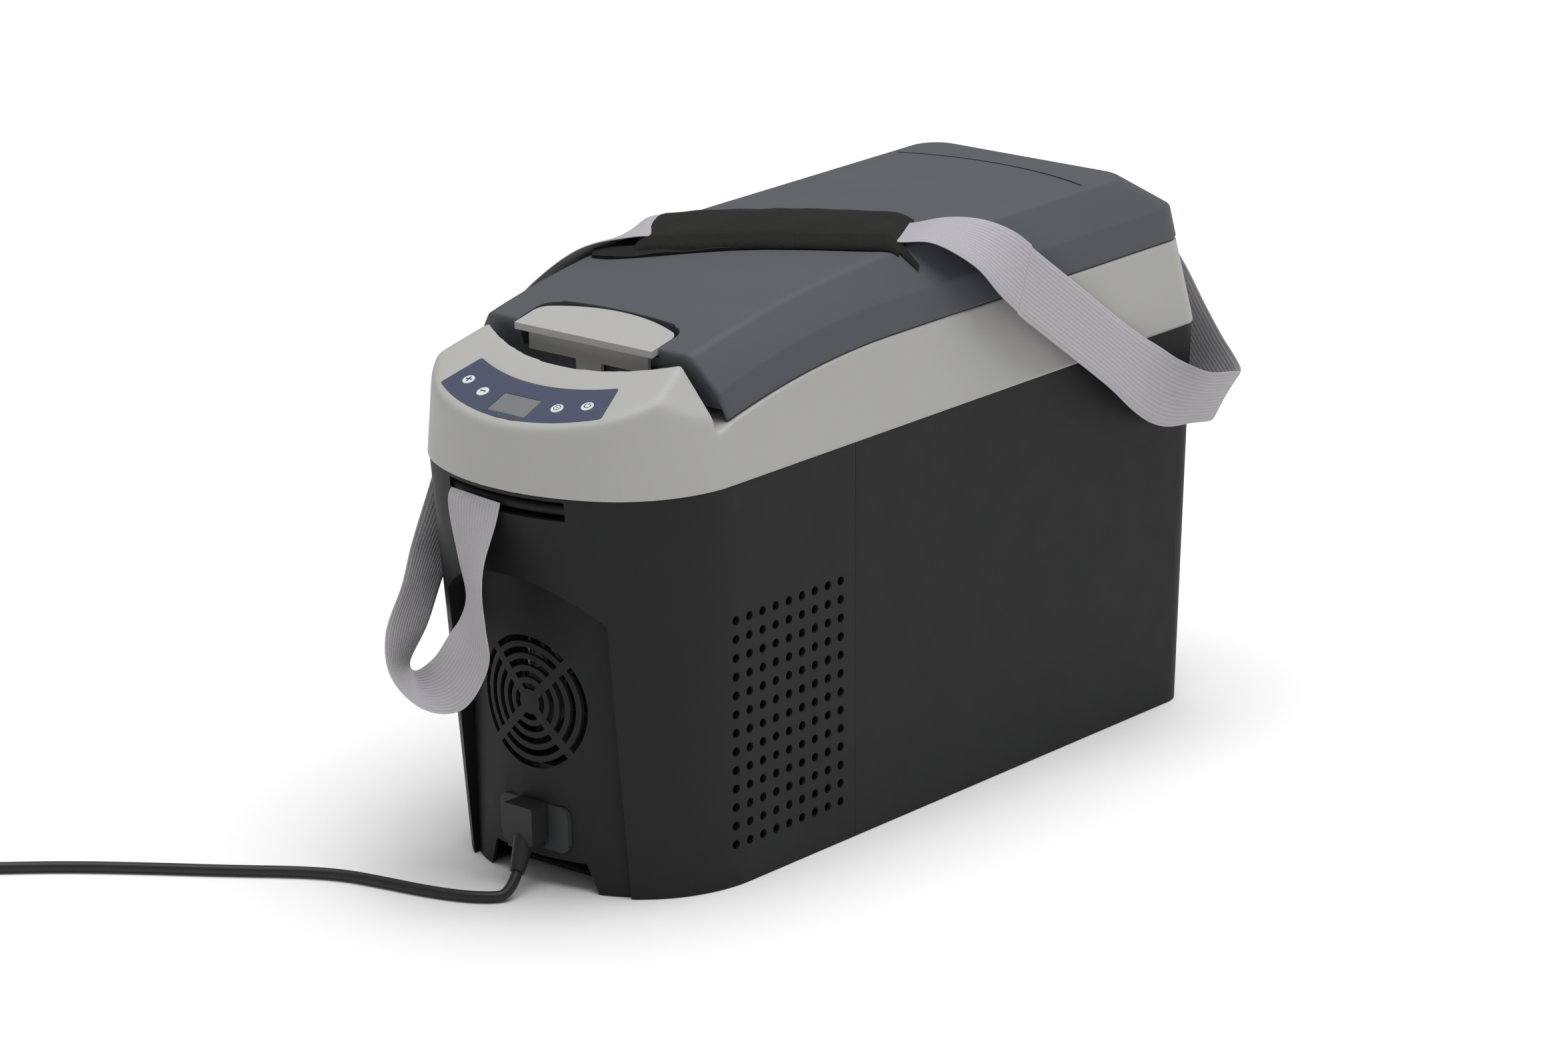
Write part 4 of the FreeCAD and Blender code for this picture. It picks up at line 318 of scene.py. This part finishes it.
for part in frame["record"]["subparts"]:
    mesh = nodes[part["node"]].data
    mesh.materials.clear()
    mesh.materials.append(PAINTS[part["material_slot"]])


# ---------------------------------------------------------------- mesh helpers

def add_mesh(name, points, faces, slot, sharp=None):
    """An object from points in millimetres, in its paint."""
    mesh = bpy.data.meshes.new(name)
    mesh.from_pydata([tuple(Vector(p) * MM) for p in points], [], faces)
    mesh.validate()
    obj = bpy.data.objects.new(name, mesh)
    scene.collection.objects.link(obj)
    mesh.materials.append(PAINTS[slot])
    smooth(obj, sharp)
    return obj


def smooth(obj, sharp=None):
    obj.data.polygons.foreach_set("use_smooth", [True] * len(obj.data.polygons))
    if sharp is not None:
        obj.data.set_sharp_from_angle(angle=math.radians(sharp))


def applied(obj, sharp=None):
    """Bake the object's modifiers into its mesh."""
    bpy.context.view_layer.update()
    graph = bpy.context.evaluated_depsgraph_get()
    mesh = bpy.data.meshes.new_from_object(obj.evaluated_get(graph))
    obj.modifiers.clear()
    obj.data = mesh
    if sharp is not None:
        smooth(obj, sharp)
    return obj


def tube_faces(rows, width, flip=False):
    """Quads round a closed tube made of rings of points, with its two end caps."""
    faces = []
    for i in range(rows - 1):
        near, far = i * width, (i + 1) * width
        for j in range(width):
            k = (j + 1) % width
            faces.append((near + j, near + k, far + k, far + j))
    faces.append(tuple(reversed(range(width))))
    faces.append(tuple(range((rows - 1) * width, rows * width)))
    return [face[:1] + face[:0:-1] for face in faces] if flip else faces


def share_of(distance, fade):
    """How much of a fade is passed, from 0 to 1."""
    return min(1.0, max(0.0, distance / fade))


def curve_points(knots, steps):
    """Catmull-Rom points through knots of any length."""
    out = []
    count = len(knots)
    for i in range(count - 1):
        p0, p1, p2, p3 = (knots[min(max(i + k, 0), count - 1)] for k in (-1, 0, 1, 2))
        for s in range(steps):
            t = s / steps
            out.append([0.5 * (2 * b + (c - a) * t + (2 * a - 5 * b + 4 * c - d) * t * t
                               + (3 * b - a - 3 * c + d) * t ** 3) for a, b, c, d in zip(p0, p1, p2, p3)])
    out.append(list(knots[-1]))
    return out


# ---------------------------------------------------------------- power lead

LEAD_Z = 3.7
CORD_RADIUS = 3.6
ROUTE = [
    (6, -292.5, 15.5), (9.5, -303.5, LEAD_Z), (0, -315, LEAD_Z), (-18, -324, LEAD_Z),
    (-44, -331, LEAD_Z), (-74, -336, LEAD_Z), (-103, -342, LEAD_Z), (-131, -356, LEAD_Z),
    (-168, -382, LEAD_Z), (-212, -410, LEAD_Z), (-256, -440, LEAD_Z), (-291, -469, LEAD_Z),
    (-323, -498, LEAD_Z),
]
COIL_RADIUS = 40.0
COIL_RISE = 6.4
# each turn's place across the coil, and the layer it lies in
COIL_SLOTS = ((10.8, 0), (3.6, 0), (-3.6, 0), (-10.8, 0), (-7.2, 1), (0, 1), (7.2, 1), (3.6, 2))


def coil_points(centre, start, per_turn=14, shift=4):
    """Turns wound side by side on the floor, then back over themselves, leaving the lead's end."""
    points = []
    for lap, (out, layer) in enumerate(COIL_SLOTS):
        onward, up = COIL_SLOTS[min(lap + 1, len(COIL_SLOTS) - 1)]
        for i in range(per_turn):
            if lap == 0 and i == 0:
                continue
            share = max(0.0, (i - per_turn + shift) / shift)
            radius = COIL_RADIUS + out + (onward - out) * share
            height = LEAD_Z + (layer + (up - layer) * share) * COIL_RISE
            angle = start + 2 * math.pi * i / per_turn
            points.append((centre.x + radius * math.cos(angle), centre.y + radius * math.sin(angle), height))
    return points


def make_lead():
    """The whole lead as one cord, along the floor and into its coil."""
    low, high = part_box("cord_coil")
    centre = (low + high) / 2 / MM
    last = Vector(ROUTE[-1])
    start = math.atan2(last.y - centre.y, last.x - centre.x)
    points = ROUTE + coil_points(centre, start)
    data = bpy.data.curves.new("lead", "CURVE")
    data.dimensions = "3D"
    data.bevel_depth = CORD_RADIUS * MM
    data.bevel_resolution = 4
    data.resolution_u = 8
    data.use_fill_caps = True
    spline = data.splines.new("NURBS")
    spline.points.add(len(points) - 1)
    for point, place in zip(spline.points, points):
        point.co = (*(Vector(place) * MM), 1)
    spline.order_u = 3
    spline.use_endpoint_u = True
    lead = bpy.data.objects.new("lead", data)
    scene.collection.objects.link(lead)
    data.materials.append(PAINTS["cord_rubber"])
    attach(lead, "power_lead")
    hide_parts("power_cord", "cord_coil")


# ---------------------------------------------------------------- carry strap

WEB_HALF = 25.0
WEB_THICK = 1.8
WEB_ROUND = 0.045
WEB_LANES = 16


def webbing(name, stations):
    """A woven ribbon through stations of middle and half-width direction."""
    knots = [list(middle) + list(Vector(half).normalized() * WEB_HALF) for middle, half in stations]
    rows = curve_points(knots, 10)
    count = len(rows)
    points, runs = [], []
    run = 0.0
    for i, row in enumerate(rows):
        here = Vector(row[:3])
        if i:
            run += (here - Vector(rows[i - 1][:3])).length
        runs.append(run)
        half = Vector(row[3:]).normalized() * WEB_HALF
        ahead, behind = (Vector(rows[min(max(k, 0), count - 1)][:3]) for k in (i + 1, i - 1))
        normal = (ahead - behind).cross(half).normalized()
        for side in (1, -1):
            for j in range(WEB_LANES + 1):
                s = (1 - 2 * j / WEB_LANES) * side
                edge = math.sqrt(max(0.0, 1 - max(0.0, (abs(s) - 1 + WEB_ROUND) / WEB_ROUND) ** 2))
                lift = WEB_THICK / 2 * (0.25 + 0.75 * edge)
                points.append(here + half * s + normal * lift * side)
    width = 2 * (WEB_LANES + 1)
    obj = add_mesh(name, points, tube_faces(count, width), "webbing_grey")
    layer = obj.data.uv_layers.new(name="ribbon")
    for loop in obj.data.loops:
        i, j = divmod(loop.vertex_index, width)
        lane = j if j <= WEB_LANES else width - 1 - j
        layer.data[loop.index].uv = (lane / WEB_LANES * 2 * WEB_HALF * MM, runs[i] * MM)
    bm = bmesh.new()
    bm.from_mesh(obj.data)
    bmesh.ops.recalc_face_normals(bm, faces=bm.faces)
    bm.to_mesh(obj.data)
    bm.free()
    smooth(obj, 50)
    return obj


WEB_Z = LID_HIGH + 3.4
ACROSS_WEB = (0.52, -0.86, 0)
PAD_LEFT = (-78, -66, WEB_Z)
PAD_RIGHT = (74, 27, WEB_Z)

FRONT_RUN = [
    ((-22, -287.5, 263.6), (1, -0.14, 0)),
    ((-22, -291.0, 253.6), (1, -0.14, 0)),
    ((-16, -300, 224.6), (0.87, -0.42, 0.2)),
    ((-8, -307, 204.6), (0.8, -0.53, 0.28)),
    ((-5, -312, 187.6), (0.88, -0.45, 0.15)),
    ((-6, -316, 169.6), (0.95, -0.28, -0.18)),
    ((-20, -321, 146.6), (0.85, -0.35, -0.42)),
    ((-46, -321, 136.6), (0.75, -0.62, -0.2)),
    ((-71, -313, 143.6), (0.5, -0.84, 0.1)),
    ((-86, -291, 162.6), (0.2, -0.97, 0.15)),
    ((-102, -259, 183.6), (0.2, -0.95, 0.15)),
    ((-113, -236, 198.6), (0.1, -0.95, 0.25)),
    ((-119, -210, 221.6), (-0.1, -0.9, 0.35)),
    ((-123, -184, 261.6), (-0.05, -0.75, 0.6)),
    ((-121, -158, 300), (0, -0.72, 0.69)),
    ((-117.5, -138, 321), (0, -0.78, 0.62)),
    ((-111, -115, 345), (0.1, -0.86, 0.5)),
    ((-97.5, -90, 367), (0.3, -0.87, 0.4)),
    (PAD_LEFT, ACROSS_WEB),
    ((-60, -54, WEB_Z), ACROSS_WEB),
]

REAR_RUN = [
    ((60, 17, WEB_Z), ACROSS_WEB),
    (PAD_RIGHT, ACROSS_WEB),
    ((92, 41, 384.5), (0.5, -0.84, -0.1)),
    ((110, 58, 375), (0.5, -0.75, -0.4)),
    ((120, 75, 359), (0.3, -0.65, -0.68)),
    ((123, 88, 347), (0.25, -0.62, -0.74)),
    ((124, 92, 342), (0.25, -0.6, -0.75)),
    ((125, 136, 308.4), (0.25, -0.6, -0.75)),
    ((127, 180, 274), (0.25, -0.62, -0.75)),
    ((129, 206, 253), (0.1, -0.5, -0.85)),
    ((132, 232, 236), (-0.2, -0.1, -0.95)),
    ((137, 258, 227), (-0.45, 0.2, -0.85)),
    ((137, 284, 222), (-0.5, 0.2, -0.82)),
    ((126, 302, 219), (-0.65, 0.1, -0.75)),
    ((111, 309, 227), (-0.75, 0, -0.65)),
    ((96, 312, 241), (-0.82, 0, -0.55)),
    ((80, 313, 262), (-0.86, 0, -0.5)),
    ((62, 313, 289), (-0.86, 0, -0.5)),
    ((48, 311, 307), (-0.88, 0, -0.47)),
    ((40, 304, 314), (-0.93, 0, -0.35)),
    ((34, 298, 307), (-0.97, 0, -0.2)),
    ((29, 295.5, 292), (-0.99, 0, -0.1)),
    ((25, 294.8, 277), (-1, 0, 0)),
    ((24, 292.6, 268.5), (-1, 0, 0)),
    ((24, 289.5, 263.6), (-1, 0, 0)),
]


def make_strap():
    front = webbing("webbing_front", FRONT_RUN)
    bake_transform(front)
    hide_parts("strap_front", "strap_over_left")
    rear = webbing("webbing_rear", REAR_RUN)
    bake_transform(rear)
    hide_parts("strap_over_right", "strap_rear")


# ---------------------------------------------------------------- lid

WAIST_HALF, WAIST_Z = 106.3, LID_LOW + 22.1
TOP_HALF = 88.1
FACET_SLOPE = (LID_HIGH - WAIST_Z) / (WAIST_HALF - TOP_HALF)
TOP_BEND = (957.0, 18.0)
# half width, height, hinge end, bend radius and where the bend starts
LEVELS = (
    (109.3, LID_LOW, 284.07, 650.0, -30.0),
    (WAIST_HALF, WAIST_Z, 281.07, 570.0, -30.0),
    (TOP_HALF, LID_HIGH, 245.37, *TOP_BEND),
)
RAKE = 0.28
CORNER = 21.0
CORNER_STEPS = 8
SIDE_STEPS = 40
COLUMNS = 24
CROWN = 3.2
CROWN_REAR = 236.0
CROWN_REAR_FADE, CROWN_FRONT_FADE = 120, 150
LIP_TUCK, LIP_DEPTH, LIP_EDGE, LIP_ROUND = 2.6, 7, 1.0, 1.2
WAIST_SETBACK, BROW_SETBACK = 1.8, 4.0
TOP_MARGIN = 14
FRONT_ROUND = 3.0


def bend_drop(y, radius, start):
    """How far a level has curved down at y."""
    return 0.0 if y > start else radius - math.sqrt(radius ** 2 - (start - y) ** 2)


BROW_Z = LID_HIGH - bend_drop(LID_FRONT, *TOP_BEND)


def crown(x, y):
    """Rise of the slightly domed top face."""
    fade = share_of(CROWN_REAR - y, CROWN_REAR_FADE) * share_of(y - LID_FRONT, CROWN_FRONT_FADE)
    return CROWN * fade * (1 - min(1.0, abs(x) / TOP_HALF) ** 2)


def lid_top(x, y):
    """Height of the lid's outer skin."""
    top = LID_HIGH - bend_drop(y, *TOP_BEND)
    if abs(x) > TOP_HALF:
        return top - (abs(x) - TOP_HALF) * FACET_SLOPE
    return top + crown(x, y)


def lid_ring(level):
    """Points from the right front round the hinge end to the left front, with inward directions."""
    half, high, rear, radius, start = level
    front = LID_FRONT
    for _ in range(20):
        front = LID_FRONT + (BROW_Z - (high - bend_drop(front, radius, start))) * RAKE
    right = []
    for i in range(SIDE_STEPS):
        y = front + (rear - CORNER - front) * i / SIDE_STEPS
        right.append((Vector((half, y, high - bend_drop(y, radius, start))), Vector((-1, 0, 0))))
    centre = Vector((half - CORNER, rear - CORNER, high))
    for i in range(CORNER_STEPS + 1):
        a = math.pi / 2 * i / CORNER_STEPS
        out = Vector((math.cos(a), math.sin(a), 0))
        right.append((centre + out * CORNER, -out))
    across = []
    for i in range(1, COLUMNS):
        x = (half - CORNER) * (1 - 2 * i / COLUMNS)
        across.append((Vector((x, rear, high)), Vector((0, -1, 0))))
    left = [(Vector((-p.x, p.y, p.z)), Vector((-d.x, d.y, d.z))) for p, d in reversed(right)]
    return right + across + left, len(right)


def rounded(before, corner, after, setback, steps=5):
    """A corner replaced by a curve that starts and ends a setback away."""
    a = corner + (before - corner).normalized() * setback
    b = corner + (after - corner).normalized() * setback
    shares = (k / steps for k in range(steps + 1))
    return [a * (1 - t) ** 2 + corner * 2 * t * (1 - t) + b * t * t for t in shares]


def lid_profile(low, inward, waist, brow):
    """The skin's section at one station, from the tucked lower lip to the top face."""
    top = brow + inward * TOP_MARGIN
    lip = [low + inward * LIP_TUCK + Vector((0, 0, LIP_DEPTH)), low + inward * LIP_TUCK,
           low + inward * LIP_EDGE, low + (waist - low).normalized() * LIP_ROUND]
    return lip + rounded(low, waist, brow, WAIST_SETBACK) + rounded(waist, brow, top, BROW_SETBACK) + [top]


def lid_skin():
    """Points and faces of the closed shell, with the edges round its front face."""
    rings = [lid_ring(level)[0] for level in LEVELS]
    side = lid_ring(LEVELS[0])[1]
    strips = [lid_profile(low, inward, waist, brow) for (low, inward), (waist, _), (brow, _) in zip(*rings)]
    deep, count = len(strips[0]), len(strips)
    last = (count - 1) * deep
    points = [p for strip in strips for p in strip]
    faces = [(i * deep + k, (i + 1) * deep + k, (i + 1) * deep + k + 1, i * deep + k + 1)
             for i in range(count - 1) for k in range(deep - 1)]
    rows = []
    for i in range(side):
        edge = strips[i][-1]
        middle = range(len(points), len(points) + COLUMNS - 1)
        points += [Vector((edge.x * (1 - 2 * c / COLUMNS), edge.y, edge.z)) for c in range(1, COLUMNS)]
        rows.append([i * deep + deep - 1, *middle, last - i * deep + deep - 1])
    for a, b in zip(rows, rows[1:]):
        faces += [(a[c], a[c + 1], b[c + 1], b[c]) for c in range(COLUMNS)]
    for i in range(side - 1):
        right, left = i * deep, last - i * deep
        faces.append((right, right + deep, left - deep, left))
    faces.append(tuple(k * deep for k in range(side - 1, count - side + 1)))
    faces.append((*range(deep), *rows[0][1:-1], *reversed(range(last, last + deep))))
    chains = [range(3, deep), range(last + 3, last + deep), rows[0]]
    front_edges = {frozenset(pair) for chain in chains for pair in zip(chain, chain[1:])}
    for p in points:
        if p.z > max(BROW_Z - 20, LID_HIGH - bend_drop(p.y, *TOP_BEND) - 0.02):
            p.z += crown(p.x, p.y)
    return points, faces, front_edges


def make_lid_body():
    points, faces, front_edges = lid_skin()
    obj = add_mesh("lid_shell", points, faces, "lid_slate")
    bm = bmesh.new()
    bm.from_mesh(obj.data)
    weights = bm.edges.layers.float.new("bevel_weight_edge")
    for edge in bm.edges:
        if frozenset(vert.index for vert in edge.verts) in front_edges:
            edge[weights] = 1.0
    bmesh.ops.remove_doubles(bm, verts=bm.verts, dist=0.00002)
    bmesh.ops.recalc_face_normals(bm, faces=bm.faces)
    bm.to_mesh(obj.data)
    bm.free()
    bevel = obj.modifiers.new("front_edges", "BEVEL")
    bevel.width = FRONT_ROUND * MM
    bevel.segments = 4
    bevel.limit_method = "WEIGHT"
    bevel.use_clamp_overlap = False
    applied(obj)
    cutters = [latch_cutter(), groove_cutter()]
    for cutter in cutters:
        mod = obj.modifiers.new("cut", "BOOLEAN")
        mod.operation = "DIFFERENCE"
        mod.solver = "EXACT"
        mod.object = cutter
    applied(obj, 32)
    for cutter in cutters:
        bpy.data.objects.remove(cutter)
    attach(obj, "lid")
    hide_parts("lid_cover")


LATCH_HALF, LATCH_REAR, LATCH_BOW, LATCH_CORNER = 60.0, -175.0, 5.0, 13.0
LATCH_TURN_Y = -187.5
LATCH_CLEAR = 1.2
LATCH_CUT_FRONT = -225.0
LATCH_CUT_LOW, LATCH_CUT_HIGH = 336.0, 420.0


def latch_plan():
    """The latch's outline with its clearance: straight front and sides, round corners, a bowed rear."""
    half, rear = LATCH_HALF + LATCH_CLEAR, LATCH_REAR + LATCH_CLEAR
    turn_y = LATCH_TURN_Y + LATCH_CLEAR / 2
    right = [(half, LATCH_CUT_FRONT), (half, LATCH_REAR - 10)]
    for i in range(1, 8):
        a = math.pi / 2 * i / 8
        right.append((half - LATCH_CORNER + LATCH_CORNER * math.cos(a), turn_y + LATCH_CORNER * math.sin(a)))
    bowed = []
    for i in range(13):
        x = (half - LATCH_CORNER) * (1 - 2 * i / 12)
        bowed.append((x, rear + LATCH_BOW * (1 - (x / half) ** 2)))
    return right + bowed + [(-x, y) for x, y in reversed(right)]


def latch_cutter():
    outline = latch_plan()
    points = [Vector((x, y, z)) for z in (LATCH_CUT_LOW, LATCH_CUT_HIGH) for x, y in outline]
    return add_mesh("latch_cutter", points, tube_faces(2, len(outline)), "lid_slate")


GROOVE_REACH, GROOVE_Y, GROOVE_RISE = 82.0, 216.5, 14.0
GROOVE_WIDE, GROOVE_DEEP = 2.2, 0.9
ABOVE_SKIN = 6


def groove_cutter():
    """The shallow arched line across the hinge end of the lid."""
    radius = (GROOVE_REACH ** 2 + GROOVE_RISE ** 2) / (2 * GROOVE_RISE)
    swing = math.asin(GROOVE_REACH / radius)
    inner = radius - GROOVE_WIDE
    section = ((radius, -GROOVE_DEEP), (radius, ABOVE_SKIN), (inner, ABOVE_SKIN), (inner, -GROOVE_DEEP))
    count = 40
    points = []
    for i in range(count + 1):
        a = -swing + 2 * swing * i / count
        for r, z in section:
            x, y = r * math.sin(a), GROOVE_Y - radius + r * math.cos(a)
            points.append(Vector((x, y, lid_top(x, y) + z)))
    return add_mesh("groove_cutter", points, tube_faces(count + 1, len(section)), "lid_slate")


# ---------------------------------------------------------------- shoulder pad

PAD_HALF = 40.0
PAD_SWELL = 7.0
PAD_ROWS, PAD_LANES = 44, 22
PAD_SEAM, PAD_SEAM_WIDE = 0.80, 0.035
HEM_START, HEM_OVER = 26, 12
HEM_INNER, HEM_WIDE, HEM_TAPER = 26, 20, 14
HEM_ROWS, HEM_LANES = 40, 6


def make_pad():
    """Padded sleeve across the lid, crowned, with seams and soft creases."""
    start, end = Vector(PAD_LEFT), Vector(PAD_RIGHT)
    along = (end - start).normalized()
    side = Vector((along.y, -along.x, 0)).normalized()
    length = (end - start).length
    points = []
    for i in range(PAD_ROWS + 1):
        u = i / PAD_ROWS
        pinch = 1 - 0.16 * (abs(2 * u - 1) ** 6)
        ends = min(1.0, (1 - abs(2 * u - 1)) * 9) ** 0.5
        for skin in (1, -1):
            for j in range(PAD_LANES + 1):
                s = (1 - 2 * j / PAD_LANES) * skin
                place = start + along * (length * u) + side * (PAD_HALF * pinch * s)
                swell = (1 - abs(s) ** 5) ** 0.5 if abs(s) < 1 else 0.0
                seam = 1 - 0.5 * math.exp(-((abs(s) - PAD_SEAM) / PAD_SEAM_WIDE) ** 2)
                crease = 0.5 * math.sin(u * 31 + s * 2.1) * math.sin(u * 13 - s * 3)
                lift = (PAD_SWELL * seam + crease) * swell * ends + 0.8 if skin > 0 else 0.0
                points.append(Vector((place.x, place.y, lid_top(place.x, place.y) + 0.6 + lift)))
    pad = add_mesh("pad_sleeve", points, tube_faces(PAD_ROWS + 1, 2 * (PAD_LANES + 1)), "pad_black")
    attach(pad, "lid")
    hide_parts("shoulder_pad")
    make_hem(start, along, side, length)


def make_hem(start, along, side, length):
    """The sleeve's stitched hem along its front side, longer than the padding."""
    points = []
    for i in range(HEM_ROWS + 1):
        share = i / HEM_ROWS
        u = -HEM_START + (length + HEM_START + HEM_OVER) * share
        reach = (HEM_WIDE - HEM_TAPER * share) * (1 - abs(2 * share - 1) ** 8 * 0.5)
        for skin in (1, 0):
            for j in range(HEM_LANES + 1):
                t = j / HEM_LANES if skin else 1 - j / HEM_LANES
                place = start + along * u + side * (HEM_INNER + reach * t)
                lift = (2.6 - 1.2 * t + 0.5 * math.sin(i * 0.9)) if skin else 0.0
                points.append(Vector((place.x, place.y, lid_top(place.x, place.y) + 0.5 + lift)))
    faces = tube_faces(HEM_ROWS + 1, 2 * (HEM_LANES + 1), flip=True)
    hem = add_mesh("pad_hem", points, faces, "pad_black", sharp=50)
    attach(hem, "lid")


# ---------------------------------------------------------------- collar

COLLAR_GRID = 1.0
CONSOLE_END, CONSOLE_FADE = -190.0, 10
MELT_Z, MELT_RISE = 300, 12
MELT_ROUND = 0.03
MELT_STEPS = 90


def make_collar():
    """The collar with its console melted into soft shoulders."""
    collar = bpy.data.objects.new("collar_soft", nodes["collar"].data.copy())
    scene.collection.objects.link(collar)
    bm = bmesh.new()
    bm.from_mesh(collar.data)
    bmesh.ops.remove_doubles(bm, verts=bm.verts, dist=0.00001)
    bm.to_mesh(collar.data)
    bm.free()
    grid = collar.modifiers.new("grid", "REMESH")
    grid.mode = "VOXEL"
    grid.voxel_size = COLLAR_GRID * MM
    applied(collar)
    group = collar.vertex_groups.new(name="soft")
    for vert in collar.data.vertices:
        y, z = vert.co.y / MM, vert.co.z / MM
        share = share_of(z - MELT_Z, MELT_RISE) * share_of(CONSOLE_END - y, CONSOLE_FADE)
        group.add([vert.index], max(share, MELT_ROUND), "REPLACE")
    melt = collar.modifiers.new("melt", "SMOOTH")
    melt.factor = 0.5
    melt.iterations = MELT_STEPS
    melt.vertex_group = "soft"
    thin = collar.modifiers.new("thin", "DECIMATE")
    thin.ratio = 0.3
    applied(collar)
    smooth(collar)
    collar.data.materials.clear()
    collar.data.materials.append(PAINTS["trim_grey"])
    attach(collar, nodes["collar"]["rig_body"])
    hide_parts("collar")


# ---------------------------------------------------------------- key symbols

TILT = math.atan(0.40)
UP_SLOPE = Vector((0, math.cos(TILT), math.sin(TILT)))
FACE_OUT = Vector((0, -math.sin(TILT), math.cos(TILT)))
PRINT_SUNK, PRINT_PROUD = 0.02, 0.08


def bar(length, width, turn=0.0, lift=0.0):
    """Outline of a straight stroke, turned and moved out along itself."""
    a = math.radians(turn)
    along, side = Vector((math.cos(a), math.sin(a))), Vector((-math.sin(a), math.cos(a)))
    middle = along * lift
    corners = ((-1, -1), (1, -1), (1, 1), (-1, 1))
    return [middle + along * length / 2 * i + side * width / 2 * j for i, j in corners]


def arc_band(radius, width, start, end, steps=20):
    turns = [math.radians(start + (end - start) * i / steps) for i in range(steps + 1)]
    outer = [Vector((math.cos(a), math.sin(a))) * (radius + width / 2) for a in turns]
    inner = [Vector((math.cos(a), math.sin(a))) * (radius - width / 2) for a in reversed(turns)]
    return outer + inner


def key_symbol(node, shapes):
    """Printed symbol on a key's cap, which moves with the key."""
    source = nodes[node]
    corners = [source.matrix_world @ vert.co for vert in source.data.vertices]
    middle = sum((Vector(c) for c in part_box(node)), Vector()) / 2
    face = max(FACE_OUT.dot(c) for c in corners)
    centre = (middle + FACE_OUT * (face - FACE_OUT.dot(middle))) / MM
    points, faces = [], []
    for shape in shapes:
        start, count = len(points), len(shape)
        for lift in (-PRINT_SUNK, PRINT_PROUD):
            points += [centre + Vector((p.x, 0, 0)) + UP_SLOPE * p.y + FACE_OUT * lift for p in shape]
        faces += [tuple(start + i for i in reversed(range(count))),
                  tuple(start + count + i for i in range(count))]
        faces += [(start + i, start + (i + 1) % count, start + count + (i + 1) % count, start + count + i)
                  for i in range(count)]
    symbol = add_mesh(node + "_symbol", points, faces, "overlay_blue", sharp=30)
    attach(symbol, source["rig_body"])


def make_keys():
    key_symbol("button_plus", [bar(5.2, 1.1), bar(5.2, 1.1, 90)])
    key_symbol("button_minus", [bar(4.8, 1.1)])
    key_symbol("button_set", [arc_band(2.3, 0.6, 0, 172), arc_band(2.3, 0.6, 188, 352), bar(1.6, 0.6, 45)])
    key_symbol("button_power", [arc_band(2.2, 0.7, 125, 415), bar(2.2, 0.7, 90, 1.7)])


make_camera()
make_studio()
make_lead()
make_strap()
make_collar()
make_lid_body()
make_pad()
make_keys()
